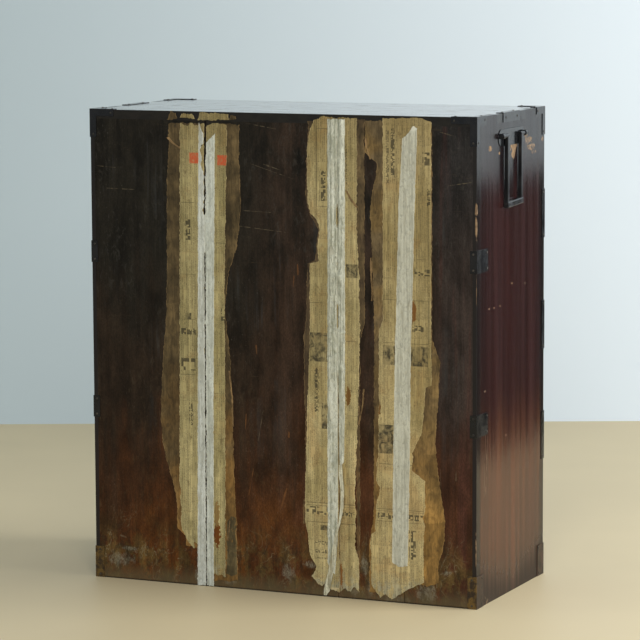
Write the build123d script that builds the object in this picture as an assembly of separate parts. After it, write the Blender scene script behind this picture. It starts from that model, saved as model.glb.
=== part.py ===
from build123d import *

import os

# A single-piece tansu, a lacquered Japanese clothing chest with iron fittings.
# Four tiers: three full-width drawers, and below them two half-width drawers beside a hinged cupboard.
# Row frame: X across the front, front towards -Y, Z up, floor at Z 0, millimetres.
# The origin is the middle of the whole footprint, handles and pasted strips included, on the floor.

# Case, outside sizes of the wood
case_width = 909.0
case_depth = 413.0
case_height = 1045.0

# Case boards
side_thickness = 18.0
top_thickness = 20.0
bottom_thickness = 20.0
rail_thickness = 20.0
base_height = 58.0
base_rail_thickness = 18.0
upper_tier_saving = 23.0
tier_count = 4
housing_depth = 6.0
fit_clearance = 0.1
finger_count = 7
overrun = 5.0

# Bottom tier, seen from the front: drawers left, cupboard right
divider_thickness = 18.0
divider_offset = 20.0
shelf_thickness = 14.0
shelf_housing = 5.0
cupboard_shelf_setback = 34.0

# Back: four upright boards in a rabbet, with open seams between them
back_thickness = 9.0
back_lip = 9.0
left_seam_x = 174.0
middle_seam_x = -135.5
right_seam_x = -290.0
seam_gap = 1.4

# Pasted strips over the back seams
paper_thickness = 0.4
tape_thickness = 0.8
crumpled_tape_thickness = 4.0
left_paper_width = 172.0
middle_paper_width = 120.0
right_paper_width = 128.0
paper_top_margin = 6.0
paper_foot = 10.0
left_tape_x = 176.5
left_tape_width = 38.0
left_tape_foot = 2.0
left_tape_top_gap = 48.0
left_tape_lean = 11.5
middle_tape_x = -133.5
middle_tape_width = 39.0
middle_tape_foot = 156.0
middle_tape_top_gap = 8.0
middle_tape_lean = 3.0
right_tape_x = -293.0
right_tape_width = 36.0
right_tape_foot = 76.0
right_tape_top_gap = 32.0
right_tape_lean = 26.0
ribbon_width = 17.0
ribbon_foot = 3.0
ribbon_top = 204.0
ribbon_top_x = -142.5
ribbon_foot_x = -109.0

# Iron plates on the case
plate_thickness = 1.4
corner_height = 61.0
corner_face_reach = 57.5
corner_side_reach = 51.5
corner_leg = 14.5
bottom_corner_height = 70.0
bottom_corner_side_leg = 38.0
bottom_corner_face_leg = 20.0
back_strap_height = 48.0
back_strap_side_leg = 64.0
back_strap_face_leg = 14.5
lower_back_strap_z = 392.0
upper_back_strap_z = 741.0
lower_strap_slip = 6.0
upper_strap_slip = 9.5
front_strap_height = 108.0
front_strap_side_leg = 15.0
front_strap_tongue = 64.0
front_strap_margin = 1.5
top_strap_length = 100.0
top_strap_top_leg = 16.0
top_strap_side_leg = 19.5
top_strap_nail_inset = 16.0
nail_radius = 2.3
nail_height = 1.0
nail_round = 0.6
nail_inset = 7.0

# Carrying handles on the two sides
handle_offset_y = 2.0
handle_pivot_drop = 48.0
handle_plate_length = 158.0
handle_plate_height = 36.0
handle_plate_thickness = 1.5
handle_plate_rise = 4.0
handle_lug_half_span = 68.5
handle_lug_radius = 6.0
handle_lug_width = 11.0
handle_lug_seat = 0.25
handle_lug_web = 9.0
handle_pin_radius = 3.4
handle_pin_clearance = 0.1
handle_bar_half_span = 41.5
handle_bar_depth = 8.5
handle_bar_width = 9.5
handle_bar_round = 1.5
handle_knuckle_radius = 4.4
handle_head_radius = 4.4
handle_head_thickness = 3.0
handle_side_clearance = 0.5
handle_drop = 152.5
handle_grip_height = 13.0
handle_grip_depth = 11.0
handle_grip_lean = 2.5
handle_grip_round = 2.5

# Drawers
drawer_recess = 2.0
drawer_side_gap = 1.0
drawer_top_gap = 1.5
drawer_run_gap = 0.3
drawer_front_thickness = 20.0
drawer_lap = 11.0
drawer_wall = 10.0
drawer_wall_drop = 9.0
drawer_back_drop = 16.0
drawer_bottom = 7.0
drawer_stop_room = 14.0
drawer_stop_width = 30.0
drawer_stop_height = 12.0
drawer_stop_inset = 60.0
stop_gap = 0.3
drawer_plate_thickness = 1.2
drawer_corner_reach = 40.0
drawer_corner_leg = 9.0

# Pulls: a bail hung in two eyes
pull_inset = 190.0
pull_half_span = 48.0
pull_seat_radius = 12.0
pull_seat_thickness = 1.6
pull_stem_radius = 4.0
pull_standoff = 15.0
pull_eye_radius = 6.0
pull_eye_width = 7.0
pull_pin_radius = 2.6
pull_pin_clearance = 0.1
pull_bar_radius = 3.2
pull_bar_half_span = 37.0
pull_bar_flare = 5.0
pull_drop = 40.0
pull_bend_radius = 13.0
pull_grip_radius = 4.2
pull_grip_length = 42.0
pull_grip_round = 1.2
pull_head_radius = 4.2
pull_head_thickness = 2.2
pull_head_clearance = 0.5

# Locks: a four-lobed plate with a keyhole and a case behind the wood
lock_lobe_radius = 21.0
lock_lobe_offset = 19.0
lock_top_margin = 2.0
keyhole_radius = 3.6
keyhole_slot_width = 3.2
keyhole_slot_length = 12.0
keyhole_depth = 9.0
lock_case_width = 56.0
lock_case_height = 48.0
lock_case_depth = 9.0

# Cupboard door and its hinges
door_thickness = 16.0
door_gap = 1.5
door_fitting_inset = 72.0
door_lock_rise = 44.0
door_pull_drop = 36.0
hinge_height = 36.0
hinge_knuckle_radius = 4.0
hinge_pin_radius = 2.0
hinge_pin_clearance = 0.1
hinge_leaf_thickness = 1.4
hinge_door_leaf = 84.0
hinge_frame_leaf = 15.0
hinge_knuckle_gap = 0.4
hinge_head_radius = 3.0
hinge_head_thickness = 1.2
hinge_foot_inset = 44.0
hinge_strap_gap = 12.0

# Places worked out from the sizes above
front_reach = pull_standoff + pull_eye_radius
back_reach = paper_thickness + crumpled_tape_thickness
y_front = -case_depth / 2 + (front_reach - back_reach) / 2
y_back = y_front + case_depth
y_inner_back = y_back - back_thickness
x_outer = case_width / 2
x_inner = x_outer - side_thickness
z_under_top = case_height - top_thickness
z_floor_board = base_height + bottom_thickness
tier_stack = z_under_top - z_floor_board + rail_thickness + upper_tier_saving
tier_pitch = tier_stack / tier_count
rail_heights = [
    z_floor_board + tier * tier_pitch - rail_thickness / 2 for tier in range(1, tier_count)
]
z_bottom_tier_top = rail_heights[0] - rail_thickness / 2
z_bottom_tier_middle = (z_floor_board + z_bottom_tier_top) / 2
divider_left = divider_offset - divider_thickness / 2
divider_right = divider_offset + divider_thickness / 2
handle_y = (y_front + y_back) / 2 + handle_offset_y
handle_z = case_height - handle_pivot_drop
handle_out = handle_lug_radius + handle_lug_seat
hinge_x = x_inner
hinge_y = y_front - hinge_knuckle_radius
lower_hinge_z = z_floor_board + hinge_foot_inset
upper_hinge_z = rail_heights[0] - (front_strap_height + hinge_height) / 2 - hinge_strap_gap

nodes = {}


def block(x_span, y_span, z_span):
    """A square-edged solid between two limits on each axis, given in either order."""
    spans = (x_span, y_span, z_span)
    middle = [(a + b) / 2 for a, b in spans]
    size = [abs(b - a) for a, b in spans]
    return Pos(*middle) * Box(*size)


def rod(radius, start, end):
    """A round bar between two points on a line along one axis."""
    line = Vector(*end) - Vector(*start)
    return Plane(origin=start, z_dir=line) * Cylinder(
        radius, line.length, align=(Align.CENTER, Align.CENTER, Align.MIN)
    )


def softened(shape, radius, axis):
    """Rounds the edges that run along one axis."""
    return fillet(shape.edges().filter_by(axis), radius)


def as_group(shapes):
    """Several separate solids as one node."""
    return Compound(children=[solid for shape in shapes for solid in shape.solids()])


case_envelope = block((-x_outer, x_outer), (y_front, y_back), (0, case_height))


# Case boards


def finger_spans(own):
    """The stretches of the top corner joint that belong to one board: 0 the top, 1 the side."""
    pitch = case_depth / finger_count
    spans = []
    for number in range(finger_count):
        if number % 2 == own:
            start = y_front + number * pitch
            clear_start = fit_clearance if number > 0 else 0
            clear_end = fit_clearance if number < finger_count - 1 else 0
            spans.append((start + clear_start, start + pitch - clear_end))
    return spans


def housed_boards():
    """Boards let into the sides: their height span, front edge and how deep they are housed."""
    boards = [((base_height, z_floor_board), y_front, housing_depth)]
    for height in rail_heights:
        span = (height - rail_thickness / 2, height + rail_thickness / 2)
        boards.append((span, y_front, housing_depth))
    return boards


def shelf_span():
    """Height span of the half-width shelves in the bottom tier."""
    return (
        z_bottom_tier_middle - shelf_thickness / 2,
        z_bottom_tier_middle + shelf_thickness / 2,
    )


def side_panel(sign):
    """One side: fingers at the top, housings for the boards, a rabbet for the back."""
    panel = block((sign * x_inner, sign * x_outer), (y_front, y_back), (0, z_under_top))
    for y_span in finger_spans(1):
        panel += block((sign * x_inner, sign * x_outer), y_span, (z_under_top, case_height))
    shelf_front = y_front if sign < 0 else y_front + cupboard_shelf_setback
    housings = housed_boards() + [(shelf_span(), shelf_front, shelf_housing)]
    for (low, high), front, depth in housings:
        cut_front = front - overrun if front == y_front else front - fit_clearance
        panel -= block(
            (sign * (x_inner - overrun), sign * (x_inner + depth + fit_clearance)),
            (cut_front, y_inner_back + fit_clearance),
            (low - fit_clearance, high + fit_clearance),
        )
    panel -= block(
        (sign * (x_inner - overrun), sign * (x_outer - back_lip)),
        (y_inner_back, y_back + overrun),
        (-overrun, z_under_top),
    )
    return panel


def top_board():
    """The top, with its fingers showing on both sides."""
    board = block((-x_inner, x_inner), (y_front, y_back), (z_under_top, case_height))
    for y_span in finger_spans(0):
        board += block((-x_outer, x_outer), y_span, (z_under_top, case_height))
    return board


def full_board(z_span):
    """A board across the case, housed in both sides and stopping at the back boards."""
    reach = x_inner + housing_depth
    return block((-reach, reach), (y_front, y_inner_back), z_span)


def divider_block(grown=0.0):
    """The upright between the small drawers and the cupboard, housed above and below."""
    return block(
        (divider_left - grown, divider_right + grown),
        (y_front, y_inner_back),
        (z_floor_board - shelf_housing - grown, z_bottom_tier_top + shelf_housing + grown),
    )


def small_drawer_shelf(grown=0.0):
    """The shelf between the two small drawers."""
    low, high = shelf_span()
    return block(
        (-x_inner - shelf_housing, divider_left + shelf_housing + grown),
        (y_front, y_inner_back),
        (low - grown, high + grown),
    )


def cupboard_shelf(grown=0.0):
    """The shelf in the cupboard, set back behind the door."""
    low, high = shelf_span()
    return block(
        (divider_right - shelf_housing - grown, x_inner + shelf_housing),
        (y_front + cupboard_shelf_setback - grown, y_inner_back),
        (low - grown, high + grown),
    )


def build_case():
    """The wooden carcass."""
    nodes["side_panel_left"] = side_panel(-1)
    nodes["side_panel_right"] = side_panel(1)
    nodes["top_board"] = top_board()
    bottom = full_board((base_height, z_floor_board))
    nodes["bottom_board"] = bottom - divider_block(fit_clearance)
    nodes["base_rail"] = block(
        (-x_inner, x_inner), (y_front, y_front + base_rail_thickness), (0, base_height)
    )
    for name, height in zip(("lower", "middle", "upper"), rail_heights):
        board = full_board((height - rail_thickness / 2, height + rail_thickness / 2))
        if name == "lower":
            board -= divider_block(fit_clearance)
        nodes[f"rail_board_{name}"] = board
    nodes["centre_divider"] = (
        divider_block() - small_drawer_shelf(fit_clearance) - cupboard_shelf(fit_clearance)
    )
    nodes["small_drawer_shelf"] = small_drawer_shelf()
    nodes["cupboard_shelf"] = cupboard_shelf()


# Back boards and the strips pasted over their seams


def build_back():
    """Four upright boards between the rabbets."""
    edge = x_outer - back_lip - fit_clearance
    half_gap = seam_gap / 2
    seams = (left_seam_x, middle_seam_x, right_seam_x)
    starts = [edge] + [seam - half_gap for seam in seams]
    ends = [seam + half_gap for seam in seams] + [-edge]
    for number, (start, end) in enumerate(zip(starts, ends), 1):
        nodes[f"back_board_{number}"] = block((start, end), (y_inner_back, y_back), (0, z_under_top))


# Torn outlines: how far each edge stands from the seam, in shares of half the strip's width,
# against shares of the strip's height from its foot
left_paper_shares = {
    "out": [
        (0.0, 0.32),
        (0.08, 0.32),
        (0.12, 0.82),
        (0.23, 1.12),
        (0.36, 1.33),
        (0.56, 1.16),
        (0.73, 1.09),
        (1.0, 1.06),
    ],
    "in": [(0.0, 0.81), (0.22, 0.74), (0.48, 0.65), (0.6, 0.49), (0.73, 0.85), (1.0, 0.92)],
}
middle_paper_shares = {
    "out": [
        (0.0, 1.12),
        (0.06, 1.03),
        (0.14, 1.38),
        (0.37, 1.2),
        (0.54, 1.32),
        (0.7, 1.13),
        (0.745, 0.67),
        (0.79, 0.73),
        (0.82, 1.15),
        (1.0, 1.08),
    ],
    "in": [(0.0, 0.82), (0.11, 0.62), (0.33, 0.75), (0.59, 0.88), (0.78, 0.77), (1.0, 0.78)],
}
right_paper_shares = {
    "out": [
        (0.0, 1.27),
        (0.13, 1.22),
        (0.23, 0.89),
        (0.33, 0.92),
        (0.59, 0.77),
        (0.94, 0.75),
        (0.95, 1.5),
        (1.0, 1.5),
    ],
    "in": [(0.0, 1.2), (0.18, 1.44), (0.34, 1.11), (0.51, 1.28), (0.56, 0.97), (1.0, 0.97)],
}


def torn_strip(seam_x, width, shares):
    """A pasted newspaper strip with uneven torn edges, lying on the back boards."""
    height = case_height - paper_top_margin - paper_foot
    half = width / 2
    left = [(seam_x + share * half, paper_foot + rise * height) for rise, share in shares["out"]]
    right = [(seam_x - share * half, paper_foot + rise * height) for rise, share in shares["in"]]
    face = Plane.XZ * make_face(Polyline(*left, *reversed(right), close=True))
    return Pos(0, y_back + paper_thickness, 0) * extrude(face, paper_thickness)


def tape_strip(foot_x, top_x, width, z_span, thickness):
    """A strip of white tape on top of the newspaper, from its foot to its top."""
    half = width / 2
    foot, top = z_span
    corners = [(foot_x - half, foot), (foot_x + half, foot), (top_x + half, top), (top_x - half, top)]
    face = Plane.XZ * make_face(Polyline(*corners, close=True))
    return Pos(0, y_back + paper_thickness + thickness, 0) * extrude(face, thickness)


def build_strips():
    """Newspaper and tape over the three seams."""
    papers = (
        ("left", left_seam_x, left_paper_width, left_paper_shares),
        ("middle", middle_seam_x, middle_paper_width, middle_paper_shares),
        ("right", right_seam_x, right_paper_width, right_paper_shares),
    )
    for name, seam_x, width, shares in papers:
        nodes[f"seam_paper_{name}"] = torn_strip(seam_x, width, shares)
    nodes["seam_tape_left"] = tape_strip(
        left_tape_x + left_tape_lean / 2,
        left_tape_x - left_tape_lean / 2,
        left_tape_width,
        (left_tape_foot, case_height - left_tape_top_gap),
        tape_thickness,
    )
    crumpled = tape_strip(
        middle_tape_x + middle_tape_lean / 2,
        middle_tape_x - middle_tape_lean / 2,
        middle_tape_width,
        (middle_tape_foot, case_height - middle_tape_top_gap),
        crumpled_tape_thickness,
    )
    ribbon = tape_strip(
        ribbon_foot_x, ribbon_top_x, ribbon_width, (ribbon_foot, ribbon_top), tape_thickness
    )
    nodes["seam_tape_middle"] = crumpled + ribbon
    nodes["seam_tape_right"] = tape_strip(
        right_tape_x + right_tape_lean / 2,
        right_tape_x - right_tape_lean / 2,
        right_tape_width,
        (right_tape_foot, case_height - right_tape_top_gap),
        tape_thickness,
    )


# Iron plates on the case


def leg(outside, sign, reach):
    """A plate's span across an edge: proud by its thickness, and reaching inwards."""
    return (outside + sign * plate_thickness, outside - sign * reach)


def case_corners():
    """The four upright edges of the case, as position and outward signs."""
    return [
        (sign_x * x_outer, y, sign_x, sign_y)
        for sign_x in (-1, 1)
        for y, sign_y in ((y_front, -1), (y_back, 1))
    ]


def top_corner_plate(x, y, sign_x, sign_y):
    """A three-way corner: an angle strip along each of the three edges that meet."""
    z_short, z_long = leg(case_height, 1, corner_leg), leg(case_height, 1, corner_height)
    x_short, x_long = leg(x, sign_x, corner_leg), leg(x, sign_x, corner_face_reach)
    y_short, y_long = leg(y, sign_y, corner_leg), leg(y, sign_y, corner_side_reach)
    plate = block(x_short, y_short, z_long)
    plate += block(x_long, y_short, z_short)
    plate += block(x_short, y_long, z_short)
    return plate - case_envelope


def bottom_corner_plate(x, y, sign_x, sign_y):
    """An angle strip round the foot of an upright edge."""
    plate = block(
        leg(x, sign_x, bottom_corner_face_leg),
        leg(y, sign_y, bottom_corner_side_leg),
        (0, bottom_corner_height),
    )
    return plate - case_envelope


def back_strap_places():
    """The side and height of each rear strap: those on the +X edge sit a little lower."""
    return [
        (-1, lower_back_strap_z),
        (-1, upper_back_strap_z),
        (1, lower_back_strap_z - lower_strap_slip),
        (1, upper_back_strap_z - upper_strap_slip),
    ]


def back_strap(sign_x, height):
    """A strap round a rear upright edge, long on the side and short on the back."""
    z_span = (height - back_strap_height / 2, height + back_strap_height / 2)
    x_span = leg(sign_x * x_outer, sign_x, back_strap_face_leg)
    y_span = leg(y_back, 1, back_strap_side_leg)
    return block(x_span, y_span, z_span) - case_envelope


def front_strap(sign_x, height):
    """A strap round a front upright edge, with a tongue along the rail."""
    tall = (height - front_strap_height / 2, height + front_strap_height / 2)
    half_tongue = rail_thickness / 2 - front_strap_margin
    flat = (height - half_tongue, height + half_tongue)
    outside = sign_x * x_outer
    strap = block(
        leg(outside, sign_x, side_thickness - front_strap_margin),
        leg(y_front, -1, front_strap_side_leg),
        tall,
    )
    strap += block(
        leg(outside, sign_x, front_strap_tongue), leg(y_front, -1, front_strap_side_leg), flat
    )
    return strap - case_envelope


def top_strap(sign_x):
    """A strap over the top edge above a carrying handle."""
    half = top_strap_length / 2
    strap = block(
        leg(sign_x * x_outer, sign_x, top_strap_top_leg),
        (handle_y - half, handle_y + half),
        leg(case_height, 1, top_strap_side_leg),
    )
    return strap - case_envelope


def nail(point, direction):
    """A low domed nail head standing on a plate."""
    head = Cylinder(nail_radius, nail_height, align=(Align.CENTER, Align.CENTER, Align.MIN))
    head = fillet(head.edges().sort_by(Axis.Z)[-1], nail_round)
    return Plane(origin=point, z_dir=direction) * head


def corner_nails(x, y, sign_x, sign_y):
    """Nails at the end of each leg of a top corner, on its three faces."""
    across = corner_leg / 2
    face_x = x + sign_x * plate_thickness
    face_y = y + sign_y * plate_thickness
    face_z = case_height + plate_thickness
    near_x, far_x = x - sign_x * across, x - sign_x * (corner_face_reach - nail_inset)
    near_y, far_y = y - sign_y * across, y - sign_y * (corner_side_reach - nail_inset)
    near_z, far_z = case_height - across, case_height - corner_height + nail_inset
    on_side = [(near_y, far_z), (far_y, near_z)]
    on_face = [(near_x, far_z), (far_x, near_z)]
    on_top = [(near_x, far_y), (far_x, near_y)]
    found = [nail((face_x, at_y, at_z), (sign_x, 0, 0)) for at_y, at_z in on_side]
    found += [nail((at_x, face_y, at_z), (0, sign_y, 0)) for at_x, at_z in on_face]
    found += [nail((at_x, at_y, face_z), (0, 0, 1)) for at_x, at_y in on_top]
    return found


def strap_nails():
    """Nails of the straps and the bottom corners."""
    found = []
    for x, y, sign_x, sign_y in case_corners():
        face_x = x + sign_x * plate_thickness
        face_y = y + sign_y * plate_thickness
        side_y = y - sign_y * (bottom_corner_side_leg - nail_inset)
        front_x = x - sign_x * bottom_corner_face_leg / 2
        for height in (nail_inset, bottom_corner_height - nail_inset):
            found.append(nail((face_x, side_y, height), (sign_x, 0, 0)))
            found.append(nail((front_x, face_y, height), (0, sign_y, 0)))
    for sign_x, height in back_strap_places():
        face_x = sign_x * (x_outer + plate_thickness)
        half = back_strap_height / 2 - nail_inset
        for rise in (-half, half):
            side_y = y_back - back_strap_side_leg + nail_inset
            back_x = sign_x * (x_outer - back_strap_face_leg / 2)
            found.append(nail((face_x, side_y, height + rise), (sign_x, 0, 0)))
            found.append(nail((back_x, y_back + plate_thickness, height + rise), (0, 1, 0)))
    for sign_x in (-1, 1):
        face_x = sign_x * (x_outer + plate_thickness)
        half = front_strap_height / 2 - nail_inset
        for height in rail_heights:
            face_y = y_front - plate_thickness
            for rise in (-half, half):
                side_y = y_front + front_strap_side_leg / 2
                front_x = sign_x * (x_outer - side_thickness / 2)
                found.append(nail((face_x, side_y, height + rise), (sign_x, 0, 0)))
                found.append(nail((front_x, face_y, height + rise), (0, -1, 0)))
            tongue_x = sign_x * (x_outer - front_strap_tongue + nail_inset)
            found.append(nail((tongue_x, face_y, height), (0, -1, 0)))
        half = top_strap_length / 2 - top_strap_nail_inset
        for shift in (-half, half):
            side_z = case_height - top_strap_side_leg / 2
            top_x = sign_x * (x_outer - top_strap_top_leg / 2)
            found.append(nail((face_x, handle_y + shift, side_z), (sign_x, 0, 0)))
            found.append(
                nail((top_x, handle_y + shift, case_height + plate_thickness), (0, 0, 1))
            )
    return found


def build_plates():
    """Corner plates, straps and their nails, as groups of separate solids."""
    corners = case_corners()
    nodes["top_corner_plates"] = as_group([top_corner_plate(*corner) for corner in corners])
    nodes["bottom_corner_plates"] = as_group([bottom_corner_plate(*corner) for corner in corners])
    nodes["back_edge_straps"] = as_group([back_strap(*place) for place in back_strap_places()])
    nodes["front_edge_straps"] = as_group(
        [front_strap(sign_x, height) for sign_x in (-1, 1) for height in rail_heights]
    )
    nodes["top_edge_straps"] = as_group([top_strap(sign_x) for sign_x in (-1, 1)])
    nails = [head for corner in corners for head in corner_nails(*corner)]
    nodes["fitting_nails"] = as_group(nails + strap_nails())


# Carrying handles


def handle_mount(sign):
    """The plate and two bored lugs that carry a side handle."""
    plan = Pos(0, handle_plate_rise) * SlotOverall(handle_plate_length, handle_plate_height)
    plate = extrude(plan, handle_plate_thickness)
    face = Plane(origin=(sign * x_outer, handle_y, handle_z), x_dir=(0, 1, 0), z_dir=(sign, 0, 0))
    mount = face * plate
    axis_x = sign * (x_outer + handle_out)
    for shift in (-handle_lug_half_span, handle_lug_half_span):
        start = handle_y + shift - handle_lug_width / 2
        end = handle_y + shift + handle_lug_width / 2
        mount += rod(handle_lug_radius, (axis_x, start, handle_z), (axis_x, end, handle_z))
        half_web = handle_lug_web / 2
        mount += block(
            (sign * x_outer, axis_x), (start, end), (handle_z - half_web, handle_z + half_web)
        )
    reach = handle_plate_length / 2 + overrun
    bore = handle_pin_radius + handle_pin_clearance
    mount -= rod(
        bore, (axis_x, handle_y - reach, handle_z), (axis_x, handle_y + reach, handle_z)
    )
    return mount


def side_handle(sign):
    """The bail: a thick grip, worn a little askew, on two bars with shoulders and pins."""
    axis_x = sign * (x_outer + handle_out)
    half_depth, half_width = handle_bar_depth / 2, handle_bar_width / 2
    z_grip = handle_z - handle_drop + handle_grip_height / 2
    y_reach = handle_bar_half_span + half_width
    grip = Box(handle_grip_depth, 2 * y_reach, handle_grip_height)
    grip = softened(grip, handle_grip_round, Axis.Y)
    handle = Pos(axis_x, handle_y, z_grip) * Rot(-handle_grip_lean, 0, 0) * grip
    lug_start = handle_lug_half_span - handle_lug_width / 2 - handle_side_clearance
    lug_end = handle_lug_half_span + handle_lug_width / 2 + handle_side_clearance
    head_end = lug_end + handle_head_thickness
    for way in (-1, 1):
        bar_y = handle_y + way * handle_bar_half_span
        bar = block(
            (axis_x - half_depth, axis_x + half_depth),
            (bar_y - half_width, bar_y + half_width),
            (z_grip, handle_z),
        )
        handle += softened(bar, handle_bar_round, Axis.Z)
        inner = (axis_x, bar_y - way * half_width, handle_z)
        shoulder = (axis_x, handle_y + way * lug_start, handle_z)
        handle += rod(handle_knuckle_radius, inner, shoulder)
        lug_face = (axis_x, handle_y + way * lug_end, handle_z)
        handle += rod(handle_pin_radius, inner, lug_face)
        handle += rod(handle_head_radius, lug_face, (axis_x, handle_y + way * head_end, handle_z))
    return handle


def build_side_handles():
    """Both carrying handles with their mounts."""
    for name, sign in (("left", -1), ("right", 1)):
        nodes[f"side_handle_mount_{name}"] = handle_mount(sign)
        nodes[f"side_handle_{name}"] = side_handle(sign)


# Pulls and lock plates


def pull_eyes(x, y_face, z):
    """The two seats, stems and bored eyes of a pull."""
    found = []
    y_axis = y_face - pull_standoff
    for shift in (-pull_half_span, pull_half_span):
        at = x + shift
        eye = rod(pull_seat_radius, (at, y_face, z), (at, y_face - pull_seat_thickness, z))
        eye += rod(pull_stem_radius, (at, y_face, z), (at, y_axis, z))
        half = pull_eye_width / 2
        eye += rod(pull_eye_radius, (at - half, y_axis, z), (at + half, y_axis, z))
        bore = pull_pin_radius + pull_pin_clearance
        eye -= rod(bore, (at - half - overrun, y_axis, z), (at + half + overrun, y_axis, z))
        found.append(eye)
    return found


def pull_bail(x, y_face, z):
    """The swinging bail of a pull, hanging."""
    y_axis = y_face - pull_standoff
    top, foot = pull_bar_half_span, pull_bar_half_span + pull_bar_flare
    points = [(-top, 0), (-foot, -pull_drop), (foot, -pull_drop), (top, 0)]
    path = Plane.XZ * FilletPolyline(*points, radius=pull_bend_radius)
    section = Plane(origin=path @ 0, z_dir=path % 0) * Circle(pull_bar_radius)
    bail = sweep(section, path=path)
    half_grip = pull_grip_length / 2
    grip = rod(pull_grip_radius, (-half_grip, 0, -pull_drop), (half_grip, 0, -pull_drop))
    bail += fillet(grip.edges().filter_by(GeomType.CIRCLE), pull_grip_round)
    eye_end = pull_half_span + pull_eye_width / 2 + pull_head_clearance
    for way in (-1, 1):
        bail += Pos(way * top, 0, 0) * Sphere(pull_bar_radius)
        bail += rod(pull_pin_radius, (way * top, 0, 0), (way * eye_end, 0, 0))
        head_end = way * (eye_end + pull_head_thickness)
        bail += rod(pull_head_radius, (way * eye_end, 0, 0), (head_end, 0, 0))
    return Pos(x, y_axis, z) * bail


def keyhole():
    """The cutter for a keyhole, in a plan whose Y is up."""
    slot = Pos(0, -keyhole_slot_length / 2) * Rectangle(keyhole_slot_width, keyhole_slot_length)
    return Circle(keyhole_radius) + slot


def lock_plate(x, y_face, z):
    """A four-lobed plate with a keyhole."""
    plan = Rectangle(lock_lobe_offset * 2, lock_lobe_offset * 2)
    for shift in ((1, 0), (-1, 0), (0, 1), (0, -1)):
        plan += Pos(shift[0] * lock_lobe_offset, shift[1] * lock_lobe_offset) * Circle(
            lock_lobe_radius
        )
    plan -= keyhole()
    face = Plane(origin=(x, y_face, z), x_dir=(1, 0, 0), z_dir=(0, -1, 0))
    return face * extrude(plan, drawer_plate_thickness)


def keyhole_cut(x, y_face, z):
    """The keyhole's blind cut in the wood."""
    face = Plane(origin=(x, y_face, z), x_dir=(1, 0, 0), z_dir=(0, 1, 0))
    upright = Rot(0, 0, 180) * keyhole()
    return face * extrude(upright, keyhole_depth)


def lock_case(x, y_inside, z):
    """The lock's case on the inside of a front."""
    half_width, half_height = lock_case_width / 2, lock_case_height / 2
    return block(
        (x - half_width, x + half_width),
        (y_inside, y_inside + lock_case_depth),
        (z - half_height, z + half_height),
    )


def face_corners(x_span, z_span, y_face):
    """Four flat L-shaped plates on the corners of a front."""
    found = []
    (x_low, x_high), (z_low, z_high) = x_span, z_span
    y_span = (y_face, y_face - drawer_plate_thickness)
    for x, way_x in ((x_low, 1), (x_high, -1)):
        for z, way_z in ((z_low, 1), (z_high, -1)):
            plate = block(
                (x, x + way_x * drawer_corner_reach), y_span, (z, z + way_z * drawer_corner_leg)
            )
            plate += block(
                (x, x + way_x * drawer_corner_leg), y_span, (z, z + way_z * drawer_corner_reach)
            )
            found.append(plate)
    return found


# Drawers


def build_drawer(name, x_span, z_span, pulls, locked):
    """A drawer that fills an opening: front, box, fittings and one bail for each pull."""
    x_low, x_high = x_span[0] + drawer_side_gap, x_span[1] - drawer_side_gap
    z_low, z_high = z_span[0] + drawer_run_gap, z_span[1] - drawer_top_gap
    y_face = y_front + drawer_recess
    y_inside = y_face + drawer_front_thickness
    y_lap = y_inside - drawer_lap
    y_end = y_inner_back - drawer_stop_room
    z_bottom = z_low + drawer_bottom
    z_wall = z_high - drawer_wall_drop
    middle_x, middle_z = (x_low + x_high) / 2, (z_low + z_high) / 2
    left_wall = block((x_low, x_low + drawer_wall), (y_lap, y_end), (z_bottom, z_wall))
    right_wall = block((x_high - drawer_wall, x_high), (y_lap, y_end), (z_bottom, z_wall))
    bottom = block((x_low, x_high), (y_lap, y_end), (z_low, z_bottom))
    back = block(
        (x_low + drawer_wall, x_high - drawer_wall),
        (y_end - drawer_wall, y_end),
        (z_bottom, z_high - drawer_back_drop),
    )
    front = block((x_low, x_high), (y_face, y_inside), (z_low, z_high))
    front -= left_wall + right_wall
    front -= bottom
    fittings = face_corners((x_low, x_high), (z_low, z_high), y_face)
    for x in pulls:
        fittings += pull_eyes(x, y_face, middle_z + pull_drop / 2)
    if locked:
        z_lock = z_high - lock_top_margin - lock_lobe_offset - lock_lobe_radius
        front -= keyhole_cut(middle_x, y_face, z_lock)
        fittings.append(lock_plate(middle_x, y_face, z_lock))
        fittings.append(lock_case(middle_x, y_inside, z_lock))
    nodes[f"{name}_drawer_front"] = front
    nodes[f"{name}_drawer_box"] = as_group([left_wall, right_wall, back, bottom])
    nodes[f"{name}_drawer_fittings"] = as_group(fittings)
    labels = ("left", "right") if len(pulls) > 1 else ("",)
    for label, x in zip(labels, pulls):
        suffix = f"_{label}" if label else ""
        nodes[f"{name}_drawer_pull{suffix}"] = pull_bail(x, y_face, middle_z + pull_drop / 2)


def tier_openings():
    """The height spans of the three full-width tiers, lowest first."""
    floors = [height + rail_thickness / 2 for height in rail_heights]
    ceilings = [height - rail_thickness / 2 for height in rail_heights[1:]] + [z_under_top]
    return list(zip(floors, ceilings))


def small_openings():
    """The height spans of the two small drawers, lower first."""
    low, high = shelf_span()
    return [(z_floor_board, low), (high, z_bottom_tier_top)]


def build_drawers():
    """Three wide drawers and two small ones."""
    pull_x = x_inner - pull_inset
    for name, z_span in zip(("lower", "middle", "upper"), tier_openings()):
        build_drawer(name, (-x_inner, x_inner), z_span, (-pull_x, pull_x), True)
    middle_x = (divider_left - x_inner) / 2
    for name, z_span in zip(("small_lower", "small_upper"), small_openings()):
        build_drawer(name, (-x_inner, divider_left), z_span, (middle_x,), False)
    nodes["drawer_stops"] = as_group(drawer_stops())


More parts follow.
